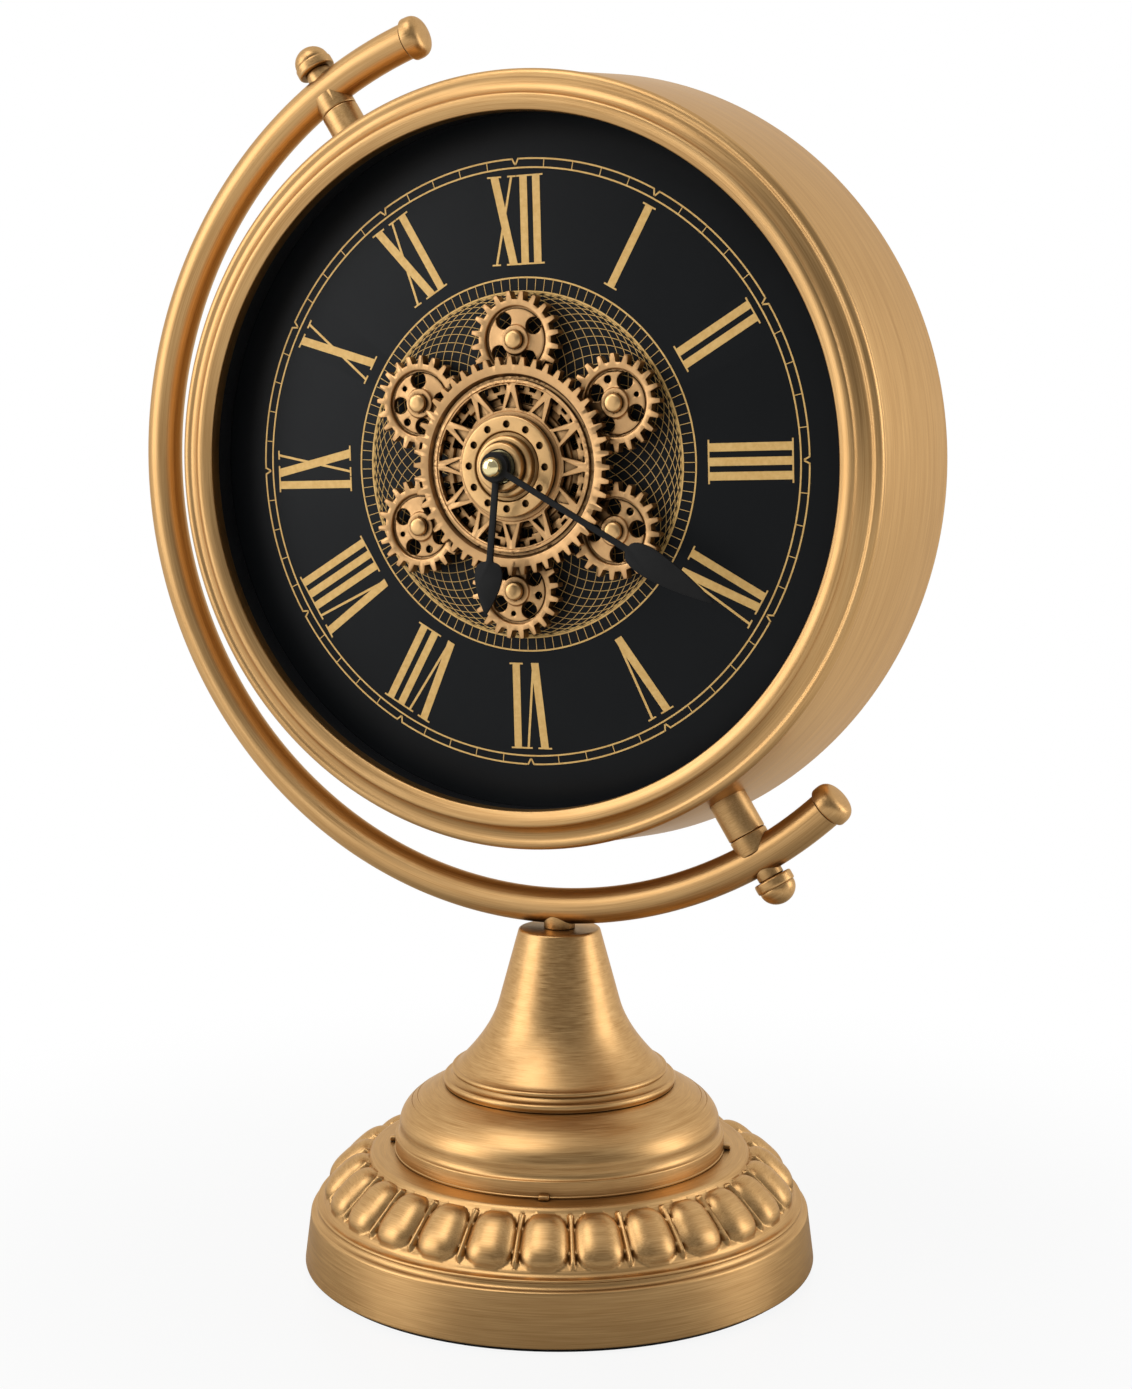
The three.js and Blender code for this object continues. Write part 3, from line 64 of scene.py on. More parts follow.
WHITE = (1.0, 1.0, 1.0, 1.0)
NOISE = (0.3, 0.7)

Point = tuple[float, float]
Triple = tuple[float, float, float]
Corner = Triple

log = logging.getLogger("table_clock")


class Axis(Enum):
    """The axis that a piece is turned or brushed about."""

    DIAL = (0.0, 1.0, 0.0)
    UPRIGHT = (0.0, 0.0, 1.0)
    ACROSS = (1.0, 0.0, 0.0)

    def at(self, radius: float, along: float) -> Vector:
        """The place of an outline's point before it is turned."""
        side = Vector((0, 0, 1)) if self is Axis.ACROSS else Vector((1, 0, 0))
        return radius * side + along * Vector(self.value)

    def lay(self) -> Triple:
        """The rotation that stands this axis up along Z."""
        return (-math.pi / 2, 0.0, 0.0) if self is Axis.DIAL else (0.0, 0.0, 0.0)


class Facets(IntEnum):
    """Facets round a turned piece, by what it is."""

    HOLE = 24
    DRILL = 28
    STUD = 32
    SCREW = 40
    SMALL = 48
    NUT = 56
    MIDDLE = 64
    RING = 96
    FLANGE = 120
    PAD = 128
    DISC = 192
    TRACK = 240


class Join(Enum):
    """How a tool changes the piece it is used on."""

    CUT = "DIFFERENCE"
    ADD = "UNION"


# Outlines


def bend(start: Point, control: Point, end: Point, steps: int = 6) -> list[Point]:
    """Draw a curve between two outline points.

    Args:
        start: First point of the curve.
        control: Point that the curve is drawn towards.
        end: Last point of the curve.
        steps: Stretches that the curve is divided into.

    Returns:
        The curve's points, both ends included.
    """
    points = []
    for i in range(steps + 1):
        t = i / steps
        weights = ((1 - t) ** 2, 2 * t * (1 - t), t**2)
        points.append(tuple(sum(w * p[k] for w, p in zip(weights, (start, control, end))) for k in (0, 1)))
    return points


def rounded(corners: Sequence[Corner], closed: bool = True, steps: int = 5) -> list[Point]:
    """Round each corner of an outline.

    Args:
        corners: Radius, place along the axis and length that the round takes off each side.
        closed: Whether the last corner leads back to the first.
        steps: Stretches of each round.

    Returns:
        The outline's points.
    """
    points: list[Point] = []
    for i, (radius, along, cut) in enumerate(corners):
        here = Vector((radius, along))
        ends = not closed and i in (0, len(corners) - 1)
        if ends or cut == 0:
            points.append((radius, along))
            continue
        before = Vector(corners[i - 1][:2])
        after = Vector(corners[(i + 1) % len(corners)][:2])
        start = here + (before - here).normalized() * cut
        end = here + (after - here).normalized() * cut
        points += bend(tuple(start), (radius, along), tuple(end), steps)
    return points


def eased(*corners: Corner, steps: int = 5) -> list[Point]:
    """Round the inner corners of an open outline."""
    return rounded(corners, closed=False, steps=steps)


def ring_section(hole: float, wide: float, low: float, high: float, rounds: Point) -> list[Point]:
    """The section of a plain ring, with the rounds on its two outer edges."""
    return rounded([(hole, low, 0), (wide, low, rounds[0]), (wide, high, rounds[1]), (hole, high, 0)])


def sweep(centre: Point, radius: float, start: float, end: float, steps: int = 8) -> list[Point]:
    """Draw a stretch of a circle between two angles, in degrees from straight outwards."""
    angles = [math.radians(start + (end - start) * i / steps) for i in range(steps + 1)]
    return [(centre[0] + radius * math.cos(a), centre[1] + radius * math.sin(a)) for a in angles]


def polar(radius: float, angle: float) -> Point:
    """A point of the dial's plane, by its angle clockwise from twelve."""
    return radius * math.sin(angle), radius * math.cos(angle)


# Bench work


def begin() -> None:
    """Leave edit mode and deselect everything."""
    if bpy.context.object and bpy.context.object.mode != "OBJECT":
        bpy.ops.object.mode_set(mode="OBJECT")
    bpy.ops.object.select_all(action="DESELECT")


def hold(obj: Object) -> None:
    """Make one object the only selected and active one.

    Args:
        obj: The object.
    """
    begin()
    obj.select_set(True)
    bpy.context.view_layer.objects.active = obj


def edit(obj: Object) -> None:
    """Enter edit mode on one object with all of it selected.

    Args:
        obj: The object.
    """
    hold(obj)
    bpy.ops.object.mode_set(mode="EDIT")
    bpy.ops.mesh.select_all(action="SELECT")


def leave() -> None:
    """Go back to object mode."""
    bpy.ops.object.mode_set(mode="OBJECT")


def weld() -> None:
    """Merge what coincides in the edited mesh and turn its faces outwards."""
    bpy.ops.mesh.select_all(action="SELECT")
    bpy.ops.mesh.remove_doubles(threshold=WELD)
    bpy.ops.mesh.normals_make_consistent(inside=False)


def pick(obj: Object, test: Callable[[Vector], bool]) -> None:
    """Select the vertices of the edited mesh whose place passes a test.

    Args:
        obj: The object in edit mode.
        test: Says whether a vertex at a place is selected.
    """
    bpy.ops.mesh.select_mode(type="VERT")
    bpy.ops.mesh.select_all(action="DESELECT")
    shape = bmesh.from_edit_mesh(obj.data)
    for vert in shape.verts:
        vert.select_set(test(vert.co))
    shape.select_flush_mode()
    bmesh.update_edit_mesh(obj.data)


def wire(name: str, places: Sequence[Vector]) -> Object:
    """Draw a line of edges by extruding one vertex from place to place.

    Args:
        name: Name of the new object.
        places: The line's points.

    Returns:
        The object, still in edit mode with all of it selected.
    """
    begin()
    bpy.ops.mesh.primitive_plane_add(size=1.0)
    obj = bpy.context.object
    obj.name = name
    bpy.ops.object.mode_set(mode="EDIT")
    bpy.ops.mesh.select_mode(type="VERT")
    bpy.ops.mesh.select_all(action="SELECT")
    bpy.ops.mesh.merge(type="CENTER")
    bpy.ops.transform.translate(value=places[0])
    for start, end in zip(places, places[1:]):
        bpy.ops.mesh.extrude_vertices_move(TRANSFORM_OT_translate={"value": end - start})
    bpy.ops.mesh.select_all(action="SELECT")
    return obj


def turned(name: str, outline: Sequence[Point], axis: Axis, steps: int) -> Object:
    """Turn an outline about an axis.

    Args:
        name: Name of the new object.
        outline: Points that end on the axis, or that close into a ring.
        axis: The axis of the turning.
        steps: Facets round the piece.

    Returns:
        The closed piece.
    """
    places = [axis.at(*point) for point in outline]
    if outline[0][0] > 0 or outline[-1][0] > 0:
        places.append(places[0])
    obj = wire(name, places)
    bpy.ops.mesh.spin(steps=steps, angle=TURN, center=(0, 0, 0), axis=axis.value)
    weld()
    leave()
    return obj


def slab(name: str, outline: Sequence[Point], back: float, thick: float) -> Object:
    """Make a flat plate in the dial's plane.

    Args:
        name: Name of the new object.
        outline: The plate's corners, across and up.
        back: Depth of its back face.
        thick: How far it stands towards the viewer.

    Returns:
        The plate.
    """
    obj = wire(name, [Vector((x, back, z)) for x, z in [*outline, outline[0]]])
    bpy.ops.mesh.remove_doubles(threshold=WELD)
    bpy.ops.mesh.select_all(action="SELECT")
    bpy.ops.mesh.edge_face_add()
    bpy.ops.mesh.extrude_region_move(TRANSFORM_OT_translate={"value": (0, -thick, 0)})
    weld()
    leave()
    return obj


def block(name: str, low: Sequence[float], high: Sequence[float], soft: float = 0.0) -> Object:
    """Make a box with softened edges.

    Args:
        name: Name of the new object.
        low: Its lowest corner.
        high: Its highest corner.
        soft: Width of the round on its edges.

    Returns:
        The box.
    """
    begin()
    low, high = Vector(low), Vector(high)
    bpy.ops.mesh.primitive_cube_add(size=1.0, location=(low + high) / 2, scale=high - low)
    obj = bpy.context.object
    obj.name = name
    bpy.ops.object.transform_apply(location=True, rotation=True, scale=True)
    if soft > 0:
        edit(obj)
        bpy.ops.mesh.bevel(offset=soft, segments=3, affect="EDGES")
        leave()
    return obj


def modify(obj: Object, kind: str, **settings: object) -> None:
    """Add a modifier to an object and apply it.

    Args:
        obj: The object to change.
        kind: The modifier's type.
        settings: Its settings by name.
    """
    hold(obj)
    modifier = obj.modifiers.new(kind.lower(), kind)
    for key, value in settings.items():
        setattr(modifier, key, value)
    bpy.ops.object.modifier_apply(modifier=modifier.name)


def work(obj: Object, tool: Object, how: Join = Join.CUT) -> Object:
    """Cut a piece with a tool, or join the two into one solid.

    Args:
        obj: The piece.
        tool: What it is cut or joined with, which is used up.
        how: Whether it is cut or joined.

    Returns:
        The same piece.
    """
    modify(obj, "BOOLEAN", object=tool, operation=how.value, solver="MANIFOLD")
    bpy.data.objects.remove(tool)
    return obj


def soften(obj: Object, width: float, angle: float = 30.0, rows: int = 2) -> Object:
    """Round the edges of a piece that turn by more than an angle, with rows of facets."""
    modify(obj, "BEVEL", width=width, segments=rows, limit_method="ANGLE", angle_limit=math.radians(angle))
    return obj


def sheen(obj: Object, angle: float = 32.0) -> Object:
    """Shade a piece smooth, apart from its sharp edges.

    Args:
        obj: The piece.
        angle: Edges that turn by more than these degrees stay sharp.

    Returns:
        The same piece.
    """
    hold(obj)
    bpy.ops.object.shade_smooth_by_angle(angle=math.radians(angle))
    return obj


def about(angle: float) -> Matrix:
    """A turn about the dial's axis, clockwise from twelve."""
    return Matrix.Rotation(angle, 4, "Y")


def aside(x: float, z: float) -> Matrix:
    """A shift across and up."""
    return Matrix.Translation((x, 0, z))


def moved(obj: Object, move: Matrix) -> Object:
    """Move a piece's mesh."""
    obj.data.transform(move)
    return obj


def copied(obj: Object, move: Matrix, name: str = "copy") -> Object:
    """Copy a piece with its own mesh and move the copy.

    Args:
        obj: The piece that was modelled.
        move: Where the copy goes, from where the piece is.
        name: Name of the copy.

    Returns:
        The copy.
    """
    hold(obj)
    bpy.ops.object.duplicate(linked=False)
    twin = bpy.context.object
    twin.name = name
    return moved(twin, move)


def joined(pieces: Sequence[Object]) -> Object:
    """Join pieces into the first one's object.

    Args:
        pieces: The pieces, of which the others are used up.

    Returns:
        The first piece, with all of their meshes.
    """
    begin()
    for obj in pieces:
        obj.select_set(True)
    bpy.context.view_layer.objects.active = pieces[0]
    bpy.ops.object.join()
    return pieces[0]


def ring_of(obj: Object, count: int, axis: Axis, start: float = 0.0) -> Object:
    """Repeat a piece evenly round an axis.

    Args:
        obj: The piece, which is used up.
        count: How many there are.
        axis: The axis they go round.
        start: Turn of the first one.

    Returns:
        All of them as one object.
    """
    turns = [Matrix.Rotation(start + TURN * i / count, 4, Vector(axis.value)) for i in range(count)]
    copies = [copied(obj, turn) for turn in turns]
    bpy.data.objects.remove(obj)
    return joined(copies)


def united(pieces: Sequence[Object]) -> Object:
    """Unite overlapping pieces into one solid.

    Args:
        pieces: The pieces, of which the others are used up.

    Returns:
        The first piece, grown by the others.
    """
    for tool in pieces[1:]:
        work(pieces[0], tool, Join.ADD)
    return pieces[0]


def sector(name: str, radii: Point, halves: Point, back: float, thick: float, steps: int = 4) -> Object:
    """Make a plate between two circles about the dial's axis, its middle at twelve o'clock.

    Args:
        name: Name of the new object.
        radii: Its inner and outer radius.
        halves: Half its width at each of them, along the circle.
        back: Depth of its back face.
        thick: How far it stands towards the viewer.
        steps: Stretches of each curved end.

    Returns:
        The plate.
    """
    (near, far), (near_half, far_half) = radii, halves
    shares = [2 * i / steps - 1 for i in range(steps + 1)]
    outer = [polar(far, share * far_half / far) for share in shares]
    inner = [polar(near, -share * near_half / near) for share in shares]
    return slab(name, outer + inner, back, thick)


def toothed(obj: Object, teeth: int, root: float, tip: float) -> Object:
    """Draw the teeth out of a wheel's wall, the first one at twelve o'clock.

    Args:
        obj: A wheel about the dial's axis with TOOTH_FACETS facets for each tooth.
        teeth: Number of teeth.
        root: Radius of the wall.
        tip: Radius of the teeth.

    Returns:
        The same wheel.
    """
    pitch = TURN / teeth

    def on_tooth(place: Vector) -> bool:
        """Whether a place on the wall belongs to a tooth's tip."""
        offset = (math.atan2(place.x, place.z) / pitch + 0.5) % 1.0 - 0.5
        return math.hypot(place.x, place.z) > root - WELD and abs(offset) < 1.5 / TOOTH_FACETS

    edit(obj)
    pick(obj, on_tooth)
    grow = tip / root
    bpy.ops.transform.resize(value=(grow, 1.0, grow), center_override=(0, 0, 0))
    leave()
    return obj


# Finishes


def linear(code: str) -> tuple[float, float, float, float]:
    """Turn an sRGB colour, #rrggbb, into linear RGBA."""
    parts = [int(code[i : i + 2], 16) / 255 for i in (1, 3, 5)]
    return *(c / 12.92 if c <= 0.04045 else ((c + 0.055) / 1.055) ** 2.4 for c in parts), 1.0


def add(tree: NodeTree, kind: str, settings: dict | None = None, links: dict | None = None) -> Node:
    """Add a node with its settings and links.

    Args:
        tree: The tree that takes the node.
        kind: The node's type.
        settings: Its own settings by name.
        links: For each input socket, the socket that feeds it, its value or its colour as #rrggbb.

    Returns:
        The node.
    """
    node = tree.nodes.new(kind)
    for key, value in (settings or {}).items():
        setattr(node, key, value)
    for key, source in (links or {}).items():
        if isinstance(source, NodeSocket):
            tree.links.new(source, node.inputs[key])
        else:
            node.inputs[key].default_value = linear(source) if isinstance(source, str) else source
    return node


def calc(tree: NodeTree, operation: str, first: object, second: object, clamp: bool = False) -> NodeSocket:
    """Work out one value from two."""
    settings = {"operation": operation, "use_clamp": clamp}
    return add(tree, "ShaderNodeMath", settings, {0: first, 1: second}).outputs[0]


def vectors(tree: NodeTree, operation: str, *parts: object) -> Node:
    """Work out one vector or value from vectors."""
    return add(tree, "ShaderNodeVectorMath", {"operation": operation}, dict(enumerate(parts)))


def between(tree: NodeTree, share: object, first: object, second: object) -> NodeSocket:
    """Mix two values by the share of the second."""
    values = {"Factor": share, "A": first, "B": second}
    return add(tree, "ShaderNodeMix", {"data_type": "FLOAT"}, values).outputs["Result"]


def ranged(
    tree: NodeTree, value: NodeSocket, seen: Point, given: Point = (0.0, 1.0), ease: str = "LINEAR"
) -> NodeSocket:
    """Carry a value over from the range that is seen to the range that is given."""
    values = dict(enumerate((value, *seen, *given)))
    return add(tree, "ShaderNodeMapRange", {"interpolation_type": ease}, values).outputs["Result"]


@dataclass(frozen=True)
class Finish:
    """A finish that makes its material once and hands it out.

    Its name is the material's. Its slot, the record's name for it, is not used by this script.
    """

    name: str
    slot: str
    roughness: float = 0.5
    metallic: float = 0.0

    def material(self) -> Material:
        """Make the finish's material, or find it.

        Returns:
            The finish as a material.
        """
        made = bpy.data.materials.get(self.name)
        if made is None:
            made = bpy.data.materials.new(self.name)
            made.use_nodes = True
            tree = made.node_tree
            shader = tree.nodes["Principled BSDF"]
            shader.inputs["Metallic"].default_value = self.metallic
            shader.inputs["Roughness"].default_value = self.roughness
            self.lay(tree, shader)
        return made

    def lay(self, tree: NodeTree, shader: Node) -> None:
        """Add the finish's own nodes to its tree and shader."""
        raise NotImplementedError

    @staticmethod
    def places(tree: NodeTree) -> NodeSocket:
        """Places on the piece, in metres."""
        return add(tree, "ShaderNodeTexCoord").outputs["Object"]

    @staticmethod
    def grain(tree: NodeTree, places: NodeSocket, size_mm: float) -> NodeSocket:
        """Soft irregular grain of one size, from 0 to 1."""
        kind = {"Vector": places, "Scale": 1 / (size_mm * MM), "Detail": 3.0, "Roughness": 0.55}
        return ranged(tree, add(tree, "ShaderNodeTexNoise", links=kind).outputs["Fac"], NOISE)

    @staticmethod
    def blend(tree: NodeTree, share: NodeSocket, first: object, second: object) -> NodeSocket:
        """Blend two colours, each a socket or #rrggbb, by the share of the second."""
        colours = {0: share, 6: first, 7: second}
        return add(tree, "ShaderNodeMix", {"data_type": "RGBA"}, colours).outputs[2]

    @staticmethod
    def hollows(tree: NodeTree, reach_mm: float, low: float, high: float) -> NodeSocket:
        """How much a place lies in a hollow within reach: 1 at the low openness, 0 at the high one."""
        # This occlusion mask carries the patina and the painted shade of the gold and bronze finishes
        shelter = add(tree, "ShaderNodeAmbientOcclusion", {"samples": 8}, {"Distance": reach_mm * MM})
        return ranged(tree, shelter.outputs["AO"], (low, high), (1.0, 0.0))

    @staticmethod
    def roughen(tree: NodeTree, shader: Node, height: NodeSocket, depth_mm: float, strength: float) -> None:
        """Give the surface a fine relief of a depth, shown with some strength."""
        depth = {"Height": height, "Distance": depth_mm * MM, "Strength": strength}
        tree.links.new(add(tree, "ShaderNodeBump", links=depth).outputs["Normal"], shader.inputs["Normal"])

    def shine(self, tree: NodeTree, shader: Node, value: NodeSocket, spread: Point) -> None:
        """Let the roughness follow a value from 0 to 1, between two changes to the finish's own."""
        rough = ranged(tree, value, (0.0, 1.0), [self.roughness + change for change in spread])
        tree.links.new(rough, shader.inputs["Roughness"])


@dataclass(frozen=True)
class BrushedGold(Finish):
    """Antique gold plate on steel, brushed round an axis.

    Fine rings of lighter and darker gold run round the piece. Hollows, and places shut in by other pieces,
    turn
    brown: partly the plate's patina, partly painted shade. The brushing is drawn a little coarser than the
    real one so that it shows.
    """

    axis: Axis = Axis.UPRIGHT
    centre: Triple = (0.0, 0.0, 0.0)
    light: str = "#cea772"
    deep: str = "#a9804f"
    # Brown for hollows and shut-in places: the plate's patina, deepened into painted shade
    patina_and_shade: str = "#2e1a08"
    edge: str = "#f7ebda"
    pitch_mm: float = 0.28
    run_turns: float = 4.0
    broad_share: float = 0.3
    broad_pitches: float = 7.0
    hollow_darkening_share: float = 0.85
    shelter: Triple = (6.5, 0.1, 0.75)
    spread: Point = (-0.06, 0.08)
    relief: Point = (0.02, 0.25)

    def brush(
        self, tree: NodeTree, ring: NodeSocket, radius: NodeSocket, along: NodeSocket, pitch: float
    ) -> NodeSocket:
        """One layer of brush marks.

        Args:
            tree: The material's tree.
            ring: Direction from the axis.
            radius: Distance from the axis, in millimetres.
            along: Distance along the axis, in millimetres.
            pitch: Spacing of the marks, in millimetres.

        Returns:
            The marks' value, from 0 to 1.
        """
        across, climb = (calc(tree, "DIVIDE", distance, pitch) for distance in (radius, along))
        lift = add(tree, "ShaderNodeCombineXYZ", links={"Z": across}).outputs[0]
        marks = vectors(tree, "MULTIPLY_ADD", ring, (self.run_turns,) * 3, lift).outputs[0]
        kind = {"Vector": marks, "W": climb, "Scale": 1.0, "Detail": 2.0, "Roughness": 0.6}
        noise = add(tree, "ShaderNodeTexNoise", {"noise_dimensions": "4D"}, kind)
        return ranged(tree, noise.outputs["Fac"], NOISE)

    def lay(self, tree: NodeTree, shader: Node) -> None:
        """Add the finish's own nodes.

        Args:
            tree: The material's tree.
            shader: The shader that they feed.
        """
        shader.inputs["Specular Tint"].default_value = linear(self.edge)
        places = self.places(tree)
        inner = {"Vector": places, "Location": self.centre, "Rotation": self.axis.lay(), "Scale": (MM,) * 3}
        local = add(tree, "ShaderNodeMapping", {"vector_type": "TEXTURE"}, inner)
        split = add(tree, "ShaderNodeSeparateXYZ", links={"Vector": local.outputs[0]})
        flat = add(tree, "ShaderNodeCombineXYZ", links={key: split.outputs[key] for key in "XY"}).outputs[0]
        ring = vectors(tree, "NORMALIZE", flat).outputs[0]
        radius = vectors(tree, "LENGTH", flat).outputs["Value"]
        pitches = (self.pitch_mm, self.broad_pitches * self.pitch_mm)
        fine, broad = (self.brush(tree, ring, radius, split.outputs["Z"], pitch) for pitch in pitches)
        marks = between(tree, self.broad_share, fine, broad)
        colour = self.blend(tree, marks, self.deep, self.light)
        # Ambient occlusion that counts other pieces too darkens hollows and places between parts: patina and
        # painted shade
        dark = calc(tree, "MULTIPLY", self.hollows(tree, *self.shelter), self.hollow_darkening_share, True)
        tree.links.new(self.blend(tree, dark, colour, self.patina_and_shade), shader.inputs["Base Color"])
        self.shine(tree, shader, fine, self.spread)
        self.roughen(tree, shader, fine, *self.relief)


@dataclass(frozen=True)
class AgedBronze(Finish):
    """Bronze-coloured gear casting: mottled, with patina and painted shade in hollows, wear and painted
    highlight on edges.
    """

    light: str = "#b08352"
    deep: str = "#8a5f38"
    # Brown for the hollows: patina, deepened into painted shade where other pieces shut a place in
    patina_and_shade: str = "#2b1a0b"
    # Pale gold for the edges: wear, and a painted highlight where a rounded edge would catch the light
    wear_and_highlight: str = "#d0a877"
    mottle_mm: float = 5.0
    spot_mm: float = 1.2
    grain_mm: float = 0.6
    edge_mm: float = 0.7
    edge_range: Point = (0.35, 0.8)
    edge_share: float = 0.7
    shelter: Triple = (5.0, 0.2, 0.85)
    spread: Point = (-0.07, 0.1)
    relief: Point = (0.03, 0.3)

    def lay(self, tree: NodeTree, shader: Node) -> None:
        """Add the finish's own nodes.

        Args:
            tree: The material's tree.
            shader: The shader that they feed.
        """
        places = self.places(tree)
        colour = self.blend(tree, self.grain(tree, places, self.mottle_mm), self.deep, self.light)
        # Lighten convex edges: wear, and a painted highlight in place of the light that bevels would catch
        inwards = {"samples": 6, "only_local": True, "inside": True}
        ridge = add(tree, "ShaderNodeAmbientOcclusion", inwards, {"Distance": self.edge_mm * MM})
        rubbed_and_highlit = ranged(tree, ridge.outputs["AO"], self.edge_range, (0.0, self.edge_share))
        colour = self.blend(tree, rubbed_and_highlit, colour, self.wear_and_highlight)
        # Ambient occlusion that counts other pieces too darkens hollows and places between parts: patina and
        # painted shade
        colour = self.blend(tree, self.hollows(tree, *self.shelter), colour, self.patina_and_shade)
        tree.links.new(colour, shader.inputs["Base Color"])
        self.shine(tree, shader, self.grain(tree, places, self.spot_mm), self.spread)
        self.roughen(tree, shader, self.grain(tree, places, self.grain_mm), *self.relief)


@dataclass(frozen=True)
class Coated(Finish):
    """A painted, moulded, cast or plain surface: two close tones in soft patches over a fine grain."""

    light: str = "#808080"
    deep: str = "#606060"
    patch_mm: float = 6.0
    grain_mm: float = 0.5
    depth_mm: float = 0.02
    strength: float = 0.2
    specular: float = 0.5
    spread: Point = (-0.05, 0.05)

    def lay(self, tree: NodeTree, shader: Node) -> None:
        """Add the finish's own nodes.

        Args:
            tree: The material's tree.
            shader: The shader that they feed.
        """
        shader.inputs["Specular IOR Level"].default_value = self.specular
        places = self.places(tree)
        patches = self.grain(tree, places, self.patch_mm)
        tree.links.new(self.blend(tree, patches, self.deep, self.light), shader.inputs["Base Color"])
        fine = self.grain(tree, places, self.grain_mm)
        self.shine(tree, shader, fine, self.spread)
        self.roughen(tree, shader, fine, self.depth_mm, self.strength)


def case_centre() -> Vector:
    """The middle of the case, where its tilt axis crosses the dial's axis, in metres."""
    return Vector(next(joint for joint in frame["joints"] if joint["name"] == "case_tilt")["pos_m"])


class Finishes:
    """The clock's finishes, each named for its material and how its surface was made."""

    # Plated steel brushed on a lathe: soft gold with fine rings about the base's upright axis
    BASE_GOLD = BrushedGold("brushed_gold_plate_base", "antique_gold", 0.37, 1.0)
    # The same plate brushed round the case, so that its rings follow drum, bezel and arc
    CASE_GOLD = BrushedGold(
        "brushed_gold_plate_case", "antique_gold", 0.37, 1.0, Axis.DIAL, tuple(case_centre())
    )
    # Zinc castings with a bronze colour: matt, brown in the hollows with patina and painted shade,
    # bright on the edges with wear and a painted highlight
    BRONZE = AgedBronze("aged_bronze_casting", "bronze_gear", 0.4, 1.0)
    # Lacquered turned brass: yellower and glossier than the castings
    BRASS = Coated("polished_brass", "polished_brass", 0.2, 1.0, "#dcb25a", "#c0923f", 3.0, 0.4, 0.01, 0.1)
    # Brass flange: satin, between the bronze of the gears and the polished cap, with the castings' painted
    # shade in its hollows and painted highlight on its edges
    SATIN_BRASS = AgedBronze(
        "satin_brass_turning", "bronze_gear", 0.36, 1.0, "#b98c58", "#976c3c", "#2b1a0b", "#d9b27c"
    )
    # Black lacquer on the dial sheet: satin, almost even
    DIAL = Coated(
        "satin_black_lacquer", "black_dial", 0.45, 0.0, "#121416", "#0f1113", 30.0, 0.5, 0.01, 0.1, 0.12
    )
    # Black enamel on the wall of the well: glossier than the dial, so that it catches a grey sheen; its black
    # is a little lighter than the dial's, a painted sheen
    WELL = Coated("black_enamel", "black_dial", 0.32, 0.0, "#1a1b1d", "#151618", 30.0, 0.5, 0.01, 0.1, 0.5)
    # Metallic screen-print ink: pale gold, a little uneven
    PRINT = Coated("gold_screen_print", "black_dial", 0.45, 0.3, "#ddb670", "#cfa45c", 1.5, 0.3, 0.01, 0.1)
    # Matt black paint on the stamped hands
    HAND = Coated("matt_black_paint", "black_hand", 0.6, 0.0, "#101010", "#0b0b0b", 4.0, 0.3, 0.01, 0.15, 0.2)
    # Moulded ABS with a fine spark grain
    PLASTIC = Coated(
        "moulded_black_abs", "black_plastic", 0.5, 0.0, "#202122", "#1a1b1c", 9.0, 0.7, 0.03, 0.3
    )
    # Zinc-plated steel fasteners
    STEEL = Coated("zinc_plated_steel", "plain_steel", 0.3, 1.0, "#b4b7b9", "#9a9da0", 2.0, 0.4, 0.01, 0.15)
    # Sand-cast iron: dark and coarse
    IRON = Coated("sand_cast_iron", "cast_iron", 0.75, 0.8, "#484644", "#343230", 5.0, 0.9, 0.1, 0.6)
    # Foam rubber under the base
    RUBBER = Coated("foam_rubber", "pad_rubber", 0.9, 0.0, "#1b1b1b", "#121212", 3.0, 0.6, 0.08, 0.5)
    # Plain printed film round a dry cell
    WRAP = Coated("cell_film_wrap", "cell_wrap", 0.3, 0.0, "#4d5862", "#434d57", 12.0, 2.0, 0.01, 0.1)


# Sub-assemblies


@dataclass
class SubAssembly:
    """Pieces that are modelled together in millimetres about one home point."""

    body: str
    home: Vector

    def span_of(self, node: str) -> list[Vector]:
        """The lowest and highest corner of a frame node, in millimetres from the home point."""
        return [corner / MM - self.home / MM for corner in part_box(node)]

    def fit(self, obj: Object, finish: Finish, *nodes: str, body: str = "") -> Object:
        """Settle a finished piece into the frame, dress it and hand it to its body.

        Args:
            obj: The piece, in millimetres about the home point.
            finish: What it is dressed in.
            nodes: The frame's nodes that it stands for.
            body: The body that carries it, if that isn't the sub-assembly's own.

        Returns:
            The piece.
        """
        hold(obj)
        obj.matrix_world = Matrix.Translation(self.home) @ Matrix.Scale(MM, 4)
        bpy.ops.object.transform_apply(location=True, rotation=True, scale=True)
        obj.data.name = obj.name
        obj.data.materials.clear()
        obj.data.materials.append(finish.material())
        carrier = body or self.body
        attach(obj, carrier)
        if nodes:
            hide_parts(*nodes)
        log.info("%s on %s: %d faces, %s", obj.name, carrier, len(obj.data.polygons), finish.name)
        return obj


